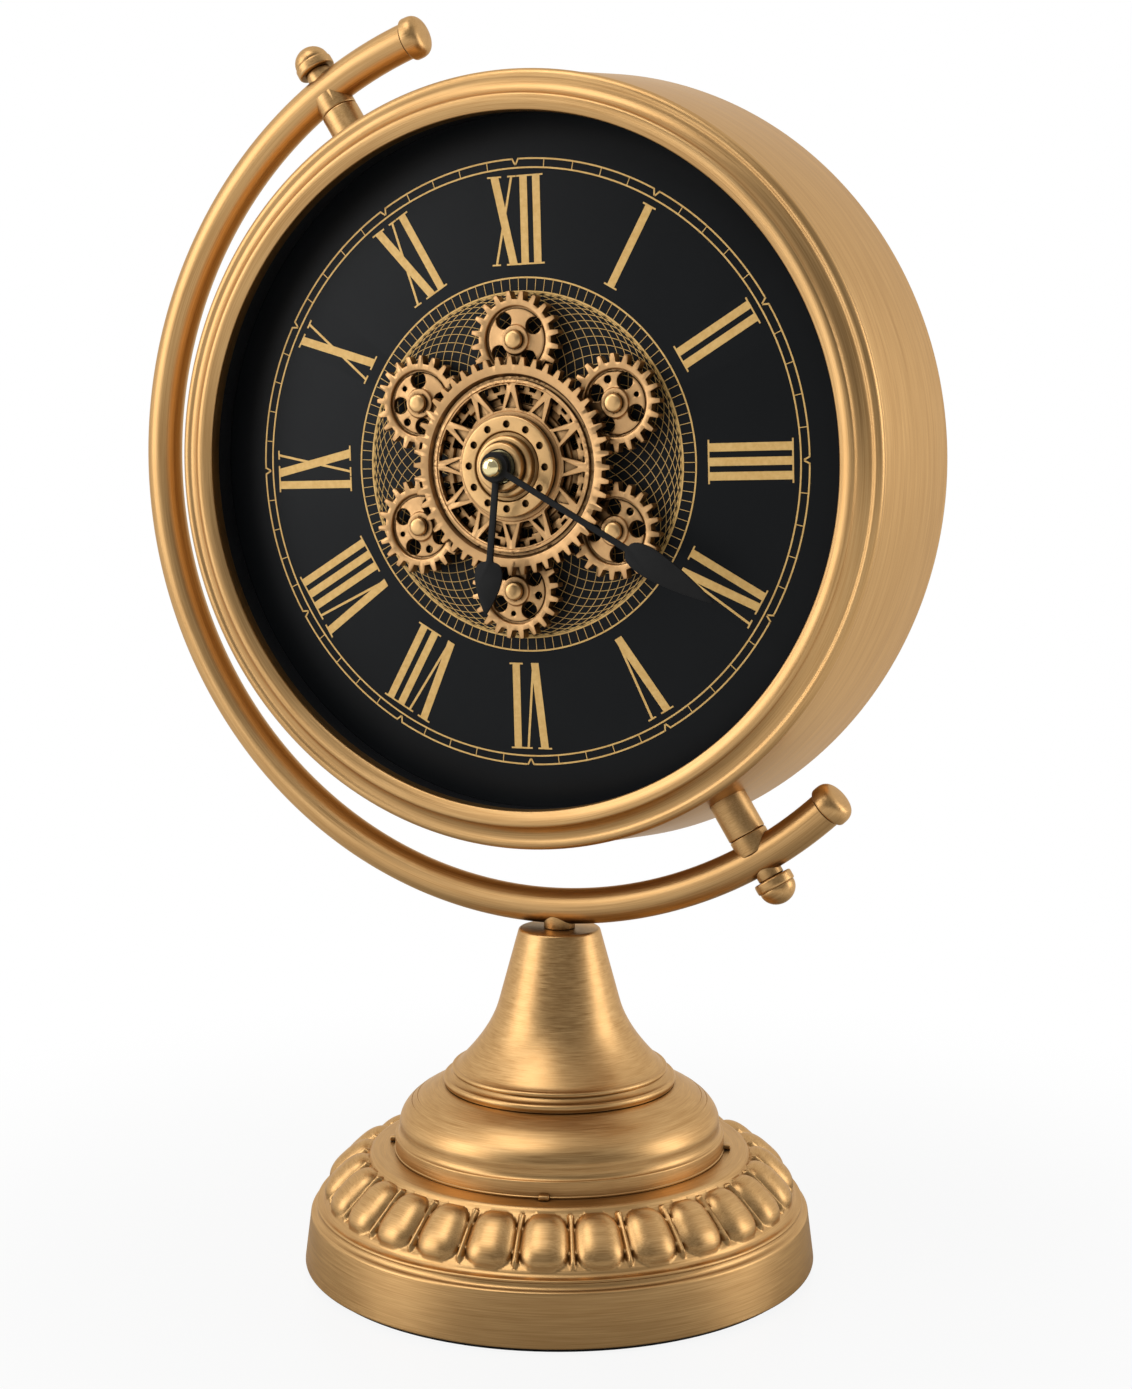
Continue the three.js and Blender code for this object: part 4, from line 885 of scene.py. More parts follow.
@dataclass
class Base(SubAssembly):
    """Foot pad, lobed rim, dome with its tabs, and trumpet neck, all turned about the upright axis."""

    pad_radius: float = 80.0
    pad_top: float = 1.5
    rim_bottom: float = 1.55
    rim_foot: float = 82.4
    band_top_radius: float = 80.3
    band_top: float = 17.95
    band_round: float = 0.7
    bead: Point = (78.0, 20.5)
    bead_round: float = 0.55
    lobe_foot: Point = (75.4, 22.55)
    lobe_head: Point = (61.6, 35.35)
    collar: Point = (59.8, 36.95)
    collar_hole: float = 48.0
    rim_wall: float = 2.6
    lobe_count: int = 27
    lobe_turn: float = math.radians(-2)
    lobe_rise: float = 3.9
    lobe_rows: int = 34
    lobe_columns: int = 40
    lobe_share: float = 0.455
    dart_share: float = 0.056
    lobe_powers: Triple = (2.4, 3.0, 0.64)
    slope_reach: float = 0.1
    dart_rise: float = 0.45
    dart_end: Point = (0.37, 0.09)
    dart_knob: Triple = (0.93, 0.055, 1.3)
    dome_bottom: float = 37.0
    dome_radius: float = 53.1
    dome_edge: float = 5.2
    dome_top: float = 58.6
    dome_wall: float = 2.0
    tab_count: int = 4
    tab_size: Triple = (2.6, 3.2, 1.5)
    tab_turn: float = math.radians(-70)
    neck_bottom: float = 58.65
    neck_top: float = 108.8
    neck_foot: float = 37.5
    neck_step: float = 34.8
    waist: Point = (19.5, 85.05)
    neck_head: float = 13.0
    rod_hole: float = 2.55

    def build(self) -> None:
        """Model and dress the base."""
        self.pad()
        self.rim()
        self.dome()
        self.neck()

    def pad(self) -> None:
        """Thin pad that the base stands on."""
        wide, top = self.pad_radius, self.pad_top
        outline = eased((0, 0, 0), (wide, 0, 0.3), (wide, top, 0.3), (0, top, 0), steps=2)
        pad = turned("rubber_foot", outline, Axis.UPRIGHT, Facets.PAD)
        self.fit(sheen(pad), Finishes.RUBBER, "foot_pad")

    def swelling(self, place: Vector) -> float:
        """How far a place on the rim swells into a lobe or a dart, from 0 to 1.

        Args:
            place: A vertex of the rim.

        Returns:
            The share of the lobes' full rise.
        """
        radius = math.hypot(place.x, place.y)
        foot, head = Vector(self.lobe_foot), Vector(self.lobe_head)
        slope = head - foot
        offset = Vector((radius, place.z)) - foot
        climb = offset.dot(slope) / slope.length_squared
        off_line = abs(slope.x * offset.y - slope.y * offset.x) / slope.length
        if off_line > self.slope_reach or not 0.0 <= climb <= 1.0:
            return 0.0
        turns = (math.atan2(place.y, place.x) - self.lobe_turn) / TURN * self.lobe_count
        across = abs((turns + 0.5) % 1.0 - 0.5)
        reach = 2.0 * climb - 1.0
        side_power, end_power, crown_power = self.lobe_powers
        egg = 1.0 - (across / self.lobe_share) ** side_power - abs(reach) ** end_power
        beside = (0.5 - across) / self.dart_share
        straight, taper = self.dart_end
        ends = max(0.0, abs(climb - 0.5) - straight) / taper
        knob_at, knob_half, knob_wide = self.dart_knob
        dart = 1.0 - beside**2 - ends**2
        knob = 1.0 - (beside / knob_wide) ** 2 - ((climb - knob_at) / knob_half) ** 2
        rod = self.dart_rise * max(dart, knob, 0.0) ** 0.5
        return max(max(egg, 0.0) ** crown_power, rod)

    def rim(self) -> None:
        """Band, bead and collar with a ring of egg-shaped lobes and the darts between them."""
        bead, high = self.bead
        wall, top = self.rim_wall, self.band_top_radius
        band = eased(
            (self.rim_foot - 2, self.rim_bottom, 0),
            (self.rim_foot, self.rim_bottom, self.band_round),
            (top, self.band_top, self.band_round), (bead + 1.3, self.band_top + 0.3, 0),
        )
        hollow = bend(band[-1], (bead + 0.1, self.band_top + 0.5), (bead, high - self.bead_round))
        round_edge = sweep(self.bead, self.bead_round, -70, 100, 7)
        cove = bend(round_edge[-1], (self.lobe_foot[0] + 0.6, high + 0.3), self.lobe_foot)
        foot, head = Vector(self.lobe_foot), Vector(self.lobe_head)
        slope = [tuple(foot.lerp(head, i / self.lobe_rows)) for i in range(1, self.lobe_rows)]
        shoulder = bend(self.lobe_head, (self.collar[0] + 1.0, self.collar[1]), self.collar, 4)
        inside = [
            (self.collar_hole, self.collar[1]), (self.collar_hole, self.collar[1] - wall),
            *[(r - wall, z - wall) for r, z in (self.lobe_head, self.lobe_foot, (top, self.band_top))],
            (top - wall, self.rim_bottom),
        ]
        outline = [*band, *hollow[1:], *round_edge, *cove[1:], *slope, *shoulder, *inside]
        rim = turned("rim_with_lobes", outline, Axis.UPRIGHT, self.lobe_count * self.lobe_columns)
        lobes = rim.vertex_groups.new(name="lobes")
        for vert in rim.data.vertices:
            lobes.add([vert.index], self.swelling(vert.co), "REPLACE")
        modify(rim, "DISPLACE", vertex_group="lobes", strength=self.lobe_rise, mid_level=0.0)
        rim.vertex_groups.clear()
        self.fit(sheen(rim, 50), Finishes.BASE_GOLD, "base_rim")

    def dome(self) -> None:
        """Bell-shaped dome with two fine lines on its shoulder, flared out to a straight edge."""
        low, edge, top = self.dome_bottom, self.dome_bottom + self.dome_edge, self.dome_top
        wide, wall = self.dome_radius, self.dome_wall
        steep = (wide - 1.5, edge + 4.4)
        shoulder = bend(steep, (wide - 2.5, top - 6.0), (wide - 11.8, top - 1.7), 14)
        outline = [
            *eased((wide - 1, low, 0), (wide + 0.25, low, 0.2), (wide + 0.25, low + 0.5, 0.2)),
            *eased((wide, low + 0.7, 0), (wide, edge, 0.45), (wide - 0.7, edge + 0.15, 0)),
            *bend((wide - 0.7, edge + 0.15), (wide - 1.9, edge + 0.9), steep, 8)[1:],
            *shoulder[1:9],
            (shoulder[8][0] - 0.1, shoulder[8][1] - 0.1),
            *shoulder[9:11],
            (shoulder[10][0] - 0.1, shoulder[10][1] - 0.1),
            *shoulder[11:],
            (wide - 14.7, top - 0.3), (self.neck_step - 6.6, top),
            (self.neck_step - 6.6, top - wall),
            *bend((wide - 13.0, top - wall - 1.6), (wide - 5.6, top - 7.6), (wide - 4.2, edge + 3)),
            (wide - 4.2, low),
        ]
        dome = turned("turned_dome", outline, Axis.UPRIGHT, Facets.DISC)
        tab_low = Vector((wide - 0.4, -self.tab_size[1] / 2, low + 0.1))
        tab = block("tab", tab_low, tab_low + Vector(self.tab_size), 0.35)
        tabs = ring_of(tab, self.tab_count, Axis.UPRIGHT, self.tab_turn)
        self.fit(sheen(work(dome, tabs, Join.ADD), 40), Finishes.BASE_GOLD, "base_dome")

    def neck(self) -> None:
        """Trumpet neck with two beads at its foot."""
        low, top, foot, step = self.neck_bottom, self.neck_top, self.neck_foot, self.neck_step
        taper = (self.waist[0] - self.neck_head) / (top - self.waist[1])
        turn_at = low + 16.5
        control = (self.waist[0] + taper * (self.waist[1] - turn_at), turn_at)
        outline = [
            (foot - 0.35, low),
            *sweep((foot - 1.2, low + 1.35), 1.2, -38, 80, 8),
            *bend((foot - 1.2, low + 2.5), (foot - 2.6, low + 2.6), (step - 0.7, low + 3.9), 5),
            *sweep((step - 0.9, low + 4.75), 0.85, -50, 110, 8),
            *bend((step - 1.5, low + 5.6), control, self.waist, 16),
            *eased((*self.waist, 0), (self.neck_head, top, 0.8), (4, top, 0))[1:],
            (self.rod_hole, top), (self.rod_hole, top - 4.4), (self.neck_head - 2.2, top - 4.4),
            (self.waist[0] - 2.2, self.waist[1]), (step - 5.2, low + 4.0), (step - 5.2, low),
        ]
        neck = turned("trumpet_neck", outline, Axis.UPRIGHT, Facets.DISC)
        self.fit(sheen(neck, 40), Finishes.BASE_GOLD, "neck_cone")


@dataclass
class Arc(SubAssembly):
    """Bent tube with its end caps, its seat on the neck, and the saddles and bushes of the two pivots."""

    radius: float = 140.6
    tube: float = 5.7
    wall: float = 1.3
    upper_end: float = math.radians(-19)
    span: float = math.radians(204)
    cap_radius: float = 6.8
    cap_length: float = 6.2
    cap_spigot: Point = (3.7, 8.0)
    pivot_lean: float = math.radians(32.2)
    stub_radius: float = 6.1
    saddle_start: float = 132.85
    bush_radius: float = 4.2
    bush_end: float = 147.95
    bolt_hole: float = 2.7
    base_offset: float = 7.0
    seat_radius: float = 5.0
    seat_hole: float = 2.55
    seat_height: float = 4.6
    sides: int = 40
    steps: int = 180
    cope_half: float = math.radians(12)
    cope_gap: float = 0.05
    cope_steps: int = 32

    def build(self) -> None:
        """Model and dress the arc."""
        tube = self.rod("bent_arc", self.tube, self.upper_end, self.span, self.steps)
        modify(tube, "SOLIDIFY", thickness=self.wall, offset=-1.0)
        self.fit(sheen(tube, 60), Finishes.CASE_GOLD, "arc_tube")
        self.caps()
        self.pivots()
        self.seat()

    def rod(self, name: str, radius: float, start: float, span: float, steps: int) -> Object:
        """Spin a circle along the arc.

        Args:
            name: Name of the new object.
            radius: The circle's radius.
            start: Angle of its first end, clockwise from straight up.
            span: How far it runs from there, anticlockwise.
            steps: Stretches along the arc.

        Returns:
            An open tube with no thickness.
        """
        begin()
        x, z = polar(self.radius, start)
        bpy.ops.mesh.primitive_circle_add(
            vertices=self.sides, radius=radius, location=(x, 0, z), rotation=(0, start + math.pi / 2, 0)
        )
        obj = bpy.context.object
        obj.name = name
        bpy.ops.object.transform_apply(location=True, rotation=True, scale=True)
        edit(obj)
        bpy.ops.mesh.spin(steps=steps, angle=span, center=(0, 0, 0), axis=Axis.DIAL.value)
        weld()
        leave()
        return obj

    def tube_space(self, middle: float) -> Object:
        """Model a closed stretch of the tube's outer shape, to cope pieces with.

        Args:
            middle: Angle of its middle, clockwise from straight up.

        Returns:
            The stretch.
        """
        half = self.cope_half
        space = self.rod("tube_space", self.tube + self.cope_gap, middle + half, 2 * half, self.cope_steps)
        edit(space)
        bpy.ops.mesh.select_mode(type="EDGE")
        bpy.ops.mesh.select_all(action="DESELECT")
        bpy.ops.mesh.select_non_manifold()
        bpy.ops.mesh.edge_face_add()
        bpy.ops.mesh.select_all(action="SELECT")
        bpy.ops.mesh.fill_holes(sides=0)
        weld()
        leave()
        return space

    def caps(self) -> None:
        """Rounded caps on the tube's two ends."""
        wide, long = self.cap_radius, self.cap_length
        spigot, depth = self.cap_spigot
        outline = [
            (0, -depth),
            *eased((0, -depth, 0), (spigot, -depth, 0.6), (spigot, 0.4, 0))[1:],
            *eased((spigot, 0.4, 0), (wide, 0.4, 0.9), (wide, 2.0, 0))[1:],
            *bend((wide, 2.2), (wide, long), (wide * 0.4, long + 0.1), 12),
            (0, long + 0.4),
        ]
        ends = {"upper": (self.upper_end, math.pi), "lower": (self.upper_end - self.span, 0.0)}
        for name, (angle, flip) in ends.items():
            cap = turned(f"{name}_tube_cap", outline, Axis.ACROSS, Facets.SMALL)
            moved(cap, aside(*polar(self.radius, angle)) @ about(angle + math.pi + flip))
            self.fit(sheen(cap), Finishes.CASE_GOLD, f"{name}_end_cap")

    def pivots(self) -> None:
        """Coped saddle inside the arc and thin bush outside it, at both pivots."""
        for name, angle in (("upper", -self.pivot_lean), ("lower", math.pi - self.pivot_lean)):
            turn = about(angle)
            top = self.radius - self.tube / 3
            ring = ring_section(self.bolt_hole, self.stub_radius, self.saddle_start, top, (0.5, 0))
            saddle = moved(turned(f"{name}_coped_saddle", ring, Axis.UPRIGHT, Facets.MIDDLE), turn)
            work(saddle, self.tube_space(angle))
            self.fit(sheen(soften(saddle, 0.12)), Finishes.CASE_GOLD, f"{name}_saddle")
            low = self.radius + self.tube / 2
            ring = ring_section(self.bolt_hole, self.bush_radius, low, self.bush_end, (0, 0.4))
            bush = moved(turned(f"{name}_bush", ring, Axis.UPRIGHT, Facets.SMALL), turn)
            work(bush, self.tube_space(angle))
            self.fit(sheen(bush), Finishes.CASE_GOLD, f"{name}_outer_bush")

    def seat(self) -> None:
        """Short coped collar between neck and arc."""
        low = self.span_of("arc_seat")[0].z
        ring = ring_section(self.seat_hole, self.seat_radius, low, low + self.seat_height, (0.3, 0))
        seat = moved(turned("coped_seat", ring, Axis.UPRIGHT, Facets.SMALL), aside(self.base_offset, 0))
        work(seat, self.tube_space(math.pi))
        self.fit(sheen(seat), Finishes.BASE_GOLD, "arc_seat")


@dataclass
class Case(SubAssembly):
    """Drum, bezel, black well, pivot stubs and acorn nuts, about the middle of the case."""

    bezel_radius: float = 119.0
    lip_radius: float = 106.4
    ridge_radius: float = 110.8
    front: float = -25.0
    lip_fall: float = 1.1
    roll: float = 2.0
    roll_front: float = -22.0
    shoulder: float = -18.6
    lip_back: float = -19.4
    skirt: Point = (116.75, -8.2)
    skirt_wall: float = 2.0
    dial_step: Point = (112.7, -11.45)
    drum_front: Point = (118.4, -18.55)
    drum_rear: Point = (123.8, 30.0)
    drum_wall: float = 1.5
    flange_radius: float = 111.3
    well_radius: float = 107.0
    well_wall: float = 1.4
    well_foot: float = 1.15
    pivot_lean: float = math.radians(32.2)
    stub_radius: float = 6.1
    stub_end: float = 132.8
    nut_start: float = 148.0
    nut_radius: float = 6.2
    nut_collar: float = 3.4
    nut_dome: Point = (5.75, 5.2)
    bolt: float = 2.4
    steps: int = 288

    def build(self) -> None:
        """Model and dress the case."""
        self.drum()
        self.bezel()
        self.well()
        self.pivots()

    def drum(self) -> None:
        """Drawn can that widens to the back, with a turned-in flange."""
        (near, front), (far, rear) = self.drum_front, self.drum_rear
        corners = [
            (near - self.drum_wall, front, 0.2), (near + 0.3, front, 0.5), (far, rear, 2.2),
            (self.flange_radius, rear, 0.4), (self.flange_radius, rear - self.drum_wall, 0.4),
            (far - self.drum_wall, rear - self.drum_wall, 1.2),
        ]
        drum = turned("drawn_drum", rounded(corners), Axis.DIAL, self.steps)
        self.fit(sheen(drum), Finishes.CASE_GOLD, "case_drum")

    def bezel(self) -> None:
        """Front ring: a sloping inner lip up to a ridge, a smooth cove and an outer roll."""
        wide, lip, ridge, front = self.bezel_radius, self.lip_radius, self.ridge_radius, self.front
        inner_skirt = self.skirt[0] - self.skirt_wall
        roll_middle = (wide - self.roll, self.roll_front + self.roll)
        roll = sweep(roll_middle, self.roll, 44, -126, 14)
        cove_end = (ridge + 0.75, front + 0.9)
        slope_end = (lip + 0.6, front + self.lip_fall - 0.1)
        outline = [
            *eased(
                (inner_skirt, self.skirt[1], 0), (*self.skirt, 0.3),
                (self.skirt[0], self.shoulder, 0), (wide - 1.2, self.shoulder, 0),
            ),
            *roll,
            *bend(roll[-1], (ridge + 2.3, front + 3.3), cove_end, 10)[1:],
            *bend(cove_end, (ridge + 0.55, front), (ridge - 0.5, front), 6)[1:],
            *bend((ridge - 0.5, front), (ridge - 2.2, front), slope_end, 7)[1:],
            *bend(slope_end, (lip, slope_end[1] + 0.15), (lip, slope_end[1] + 0.9), 5)[1:],
            (lip, self.lip_back), (self.dial_step[0], self.lip_back),
            self.dial_step,
            (inner_skirt, self.dial_step[1]),
        ]
        bezel = turned("moulded_bezel", outline, Axis.DIAL, self.steps)
        self.fit(sheen(bezel, 40), Finishes.CASE_GOLD, "bezel")

    def well(self) -> None:
        """Black wall between the bezel's lip and the dial."""
        near, far, edge = self.well_radius, self.well_radius + self.well_wall, self.dial_step[0] - 0.15
        front, back = self.lip_back + 0.05, self.dial_step[1]
        foot = back - self.well_foot
        corners = [
            (near, back, 0.3), (near, front, 0.3), (far, front, 0), (far, foot, 0), (edge, foot, 0),
            (edge, back, 0),
        ]
        well = turned("black_well", rounded(corners, steps=3), Axis.DIAL, self.steps)
        self.fit(sheen(well), Finishes.WELL, "dial_well")

    def pivots(self) -> None:
        """Spacer stub between drum and arc, and acorn nut outside the arc, at both pivots."""
        (near, front), (far, rear) = self.drum_front, self.drum_rear
        wall = near + (far - near) * front / (front - rear)
        sunk = wall - self.drum_wall / 2
        collar_end = self.nut_start + self.nut_collar
        dome, rise = self.nut_dome
        bore = self.bolt + 0.1
        stub_ring = ring_section(self.bolt, self.stub_radius, sunk, self.stub_end, (0, 0.5))
        nut_outline = [
            (0, collar_end + 0.2), (bore, collar_end + 0.2), (bore, self.nut_start),
            *eased(
                (bore, self.nut_start, 0), (self.nut_radius, self.nut_start, 0.8),
                (self.nut_radius, collar_end - 0.1, 0.8), (dome - 0.1, collar_end - 0.1, 0),
            )[1:],
            *[(r, collar_end + z * rise / dome) for r, z in sweep((0, 0), dome, 2, 84, 10)],
            (0, collar_end + rise),
        ]
        for name, angle in (("upper", -self.pivot_lean), ("lower", math.pi - self.pivot_lean)):
            turn = about(angle)
            stub = moved(turned(f"{name}_spacer", stub_ring, Axis.UPRIGHT, Facets.MIDDLE), turn)
            self.fit(sheen(stub), Finishes.CASE_GOLD, f"{name}_stub")
            nut = moved(turned(f"{name}_acorn", nut_outline, Axis.UPRIGHT, Facets.NUT), turn)
            self.fit(sheen(nut), Finishes.CASE_GOLD, f"{name}_acorn_nut")


class Letter(Enum):
    """A roman letter: each stroke's places at foot and head and its width, and the letter's own width."""

    I = (((0.0, 0.0, 2.5),), 4.3)
    V = (((0.0, -2.9, 2.6), (0.5, 2.9, 0.75)), 8.6)
    X = (((3.0, -3.0, 2.7), (-2.9, 2.9, 0.75)), 9.4)


@dataclass
class Dial(SubAssembly):
    """Black dial with its printed minute track, roman numbers and a plain engine-turned rosette."""

    radius: float = 114.6
    front: float = -11.4
    back: float = -10.2
    shaft_hole: float = 5.5
    stud_hole: float = 3.35
    orbit: float = 38.5
    stud_count: int = 6
    ink: float = 0.1
    track_outer: float = 93.4
    track_inner: float = 90.7
    line: float = 0.5
    notch: Point = (1.15, 2.2)
    number_top: float = 88.5
    number_foot: float = 61.4
    serif: float = 0.5
    serif_reach: float = 1.05
    dial_turn: float = math.radians(-1.57)
    rosette_count: int = 60
    rosette_orbit: float = 28.5
    rosette_radius: float = 24.5
    scale_rings: tuple[float, ...] = (53.4, 57.6)
    hair: float = 0.17
    numbers: ClassVar[tuple[str, ...]] = (
        "XII", "I", "II", "III", "IV", "V", "VI", "VII", "VIII", "IX", "X", "XI",
    )

    def build(self) -> None:
        """Model and dress the dial."""
        self.plate()
        self.track()
        self.numerals()
        self.rosette()

    def plate(self) -> None:
        """Dial sheet with holes for the hollow shaft and the studs."""
        wide, back, front = self.radius, self.back, self.front
        outline = eased((0, back, 0), (wide, back, 0), (wide, front, 0.2), (0, front, 0), steps=2)
        plate = turned("dial_sheet", outline, Axis.DIAL, Facets.DISC)
        drill = [(0, back + 1), (self.stud_hole, back + 1), (self.stud_hole, front - 1), (0, front - 1)]
        hole = moved(turned("stud_drill", drill, Axis.DIAL, Facets.HOLE), aside(0, self.orbit))
        drills = ring_of(hole, self.stud_count, Axis.DIAL)
        bore = [(min(r, 1) * self.shaft_hole, y) for r, y in drill]
        shaft = turned("shaft_drill", bore, Axis.DIAL, Facets.SMALL)
        work(plate, joined([drills, shaft]))
        self.fit(sheen(plate), Finishes.DIAL, "dial_plate")

    def hoop(self, radius: float, width: float, steps: int = Facets.TRACK) -> Object:
        """A printed circle, by the radius of its middle and the width of its line."""
        low, high, back, front = radius - width / 2, radius + width / 2, self.front, self.front - self.ink
        return turned("hoop", [(low, back), (high, back), (high, front), (low, front)], Axis.DIAL, steps)

    def bar(self, foot: Point, head: Point, width: float) -> Object:
        """A printed stroke with level ends, by the middles of both and its level width."""
        lower, upper = ([(x - width / 2, z), (x + width / 2, z)] for x, z in (foot, head))
        return slab("bar", [*lower, *reversed(upper)], self.front, self.ink)

    def printed(self, name: str, parts: Sequence[Object]) -> None:
        """Join printed parts, turn them as the dial is printed and hand them over.

        Args:
            name: Name of the print.
            parts: Its parts, which are used up.
        """
        print_ = joined(parts)
        print_.name = name
        moved(print_, about(self.dial_turn))
        self.fit(print_, Finishes.PRINT)

    def track(self) -> None:
        """Minute track: an inner circle, an outer one with a notch at each hour, and four ticks between."""
        half, depth = self.notch
        low, high = self.track_outer - self.line / 2, self.track_outer + self.line / 2
        inner = self.track_inner + self.line / 2
        bar = self.bar((0, inner), (0, low), self.hair * 1.5)
        ticks = [copied(bar, about(TURN * i / MINUTES)) for i in range(1, MINUTES // HOURS)]
        bpy.data.objects.remove(bar)
        half_hour = TURN / HOURS / 2
        reach = half_hour - half / self.track_outer
        line = sector("line", (low, high), (low * reach, high * reach), self.front, self.ink, 16)
        moved(line, about(half_hour))
        left, right = (self.bar((0, high - depth), (side * half, high), self.line * 1.1) for side in (-1, 1))
        cell = joined([united([line, left]), right, *ticks])
        circle = self.hoop(self.track_inner, self.line)
        self.printed("minute_track", [ring_of(cell, HOURS, Axis.DIAL), circle])

    def letter(self, letter: Letter) -> Object:
        """Model one letter with its serifs, its foot on the dial's middle line.

        Args:
            letter: Which letter it is.

        Returns:
            The letter as a flat plate.
        """
        strokes, _ = letter.value
        low, high = self.number_foot, self.number_top
        parts = []
        for foot, head, width in strokes:
            parts.append(self.bar((foot, low), (head, high), width))
            reach = width + 2 * self.serif_reach
            ends = [(head, high - self.serif, high)]
            if letter is not Letter.V:
                ends.append((foot, low, low + self.serif))
            parts += [self.bar((x, z0), (x, z1), reach) for x, z0, z1 in ends]
        return united(parts)

    def numerals(self) -> None:
        """Roman numbers round the dial, each letter a copy of one of three."""
        masters = {letter.name: self.letter(letter) for letter in Letter}
        hours = []
        for hour, number in enumerate(self.numbers):
            letters = []
            place = -sum(Letter[c].value[1] for c in number) / 2
            for c in number:
                width = Letter[c].value[1]
                letters.append(copied(masters[c], aside(place + width / 2, 0)))
                place += width
            hours.append(moved(united(letters), about(TURN * hour / HOURS)))
        for master in masters.values():
            bpy.data.objects.remove(master)
        self.printed("roman_numbers", hours)

    def rosette(self) -> None:
        """Rosette of fine overlapping circles inside a divided ring."""
        circle = moved(self.hoop(self.rosette_radius, self.hair, Facets.RING), aside(0, self.rosette_orbit))
        petals = ring_of(circle, self.rosette_count, Axis.DIAL)
        inner, outer = self.scale_rings
        ticks = ring_of(self.bar((0, inner), (0, outer), self.hair), 2 * MINUTES, Axis.DIAL)
        rings = [self.hoop(radius, self.line) for radius in self.scale_rings]
        self.printed("engine_turned_rosette", [petals, ticks, *rings])


@dataclass
class GearTrain(SubAssembly):
    """Planets on their studs, the rear and front gears on the hollow shaft, and the flange before them."""

    module: float = 1.375
    addendum: float = 0.8
    dedendum: float = 1.1
    planet_teeth: int = 20
    rear_teeth: int = 36
    planet_back: float = -13.8
    planet_front: float = -17.4
    orbit: float = 38.5
    planet_count: int = 6
    stud_bore: float = 2.3
    planet_web: float = 1.2
    planet_hub: float = 4.5
    hole_radius: float = 2.7
    hole_orbit: float = 7.2
    small_hole: float = 1.25
    hub_bore: float = 5.35
    rear_steps: tuple[Point, ...] = (
        (19.4, 1.4), (19.0, 0.5), (17.6, 0.5), (17.2, 1.4), (14.0, 1.4), (13.6, 0.2),
    )
    slot: Point = (19.6, 22.4)
    slot_half: float = math.radians(5.5)
    slot_count: int = 18
    front_teeth: int = 48
    front_root: float = 30.9
    front_tip: float = 33.4
    front_back: float = -18.0
    front_face: float = -21.0
    spoke_count: int = 12
    window: Point = (17.4, 25.0)
    spoke_foot: float = 6.0
    spoke_head: float = 2.5
    spoke_bar: float = 1.0
    flange_back: float = -21.05
    flange_radius: float = 15.6
    flange_face: float = -23.25
    boss: Point = (9.4, -25.65)
    nose: Point = (7.4, -28.45)
    flange_hole: Point = (1.15, 12.9)
    flange_holes: int = 12
    stud_radius: float = 2.0
    stud_shoulder: float = 3.2
    stud_head: Point = (2.9, 1.9)
    bridge: Triple = (46.0, -10.15, -8.15)

    def build(self) -> None:
        """Model and dress the gears."""
        self.studs()
        self.planets()
        self.rear_gear()
        self.front_gear()
        self.flange()

    def radii(self, teeth: int) -> tuple[float, float]:
        """Root and tip radius of a gear with so many teeth."""
        pitch = teeth * self.module / 2
        return pitch - self.dedendum * self.module, pitch + self.addendum * self.module

    @staticmethod
    def wheel(name: str, outline: Sequence[Point], teeth: int, root: float, tip: float) -> Object:
        """A turned wheel with teeth drawn out of its wall."""
        return toothed(turned(name, outline, Axis.DIAL, TOOTH_FACETS * teeth), teeth, root, tip)

    @staticmethod
    def drill(radius: float, across: float, angle: float, back: float, front: float) -> Object:
        """A drill for a round hole so far from the axis, at an angle from twelve, between two depths."""
        outline = [(0, back), (radius, back), (radius, front), (0, front)]
        return moved(turned("drill", outline, Axis.DIAL, Facets.DRILL), aside(*polar(across, angle)))

    def studs(self) -> None:
        """Bridge plate behind the dial with shouldered studs and their domed heads."""
        wide, near, far = self.bridge
        hole = self.hub_bore + 0.15
        section = [(hole, near), (wide, near), (wide, far), (hole, far)]
        plate = turned("gear_bridge_studs", section, Axis.DIAL, Facets.RING)
        back, front = self.planet_back + 0.3, self.planet_front - 0.3
        head, rise = self.stud_head
        outline = [
            (0, near + 1), (self.stud_shoulder, near + 1), (self.stud_shoulder, back),
            (self.stud_radius, back), (self.stud_radius, front),
            *eased((self.stud_radius, front, 0), (head, front, 0.3), (head, front - 0.6, 0))[1:],
            *bend((head, front - 0.7), (head, front - rise), (head * 0.35, front - rise), 6),
            (0, front - rise),
        ]
        stud = moved(turned("stud", outline, Axis.DIAL, Facets.STUD), aside(0, self.orbit))
        work(plate, ring_of(stud, self.planet_count, Axis.DIAL), Join.ADD)
        self.fit(sheen(plate), Finishes.SATIN_BRASS, "gear_bridge", body="case")

    def planet(self, small_holes: bool) -> Object:
        """Model a planet: toothed rim, sunk web with holes, and a hub.

        Args:
            small_holes: Whether a small hole lies between the large ones.

        Returns:
            The planet about the dial's axis.
        """
        root, tip = self.radii(self.planet_teeth)
        back, face = self.planet_back, self.planet_front
        web, hub = face + self.planet_web, self.planet_hub
        outline = [
            (self.stud_bore, back), (root, back), (root, face),
            *bend((root - 1.5, face), (root - 1.9, face + 0.1), (root - 2.0, face + 0.6), 3),
            (root - 2.1, web + 0.5), (root - 2.6, web + 0.5),
            *bend((root - 2.8, web + 0.1), (root - 3.1, web), (root - 3.6, web), 3),
            *bend((hub + 0.8, web), (hub + 0.1, web), (hub, web - 0.7), 3),
            *eased((hub, web - 0.7, 0), (hub, face, 0.4), (self.stud_bore, face, 0))[1:],
        ]
        gear = self.wheel("planet", outline, self.planet_teeth, root, tip)
        quarter = TURN / 4
        holes = [(self.hole_radius, self.hole_orbit, quarter * (i + 0.5)) for i in range(4)]
        if small_holes:
            holes.append((self.small_hole, self.hole_orbit + 0.4, quarter))
            holes.append((self.small_hole * 0.7, self.hole_orbit, 2 * quarter))
        drills = [self.drill(*hole, back + 1, face - 1) for hole in holes]
        return soften(work(gear, joined(drills)), 0.2)

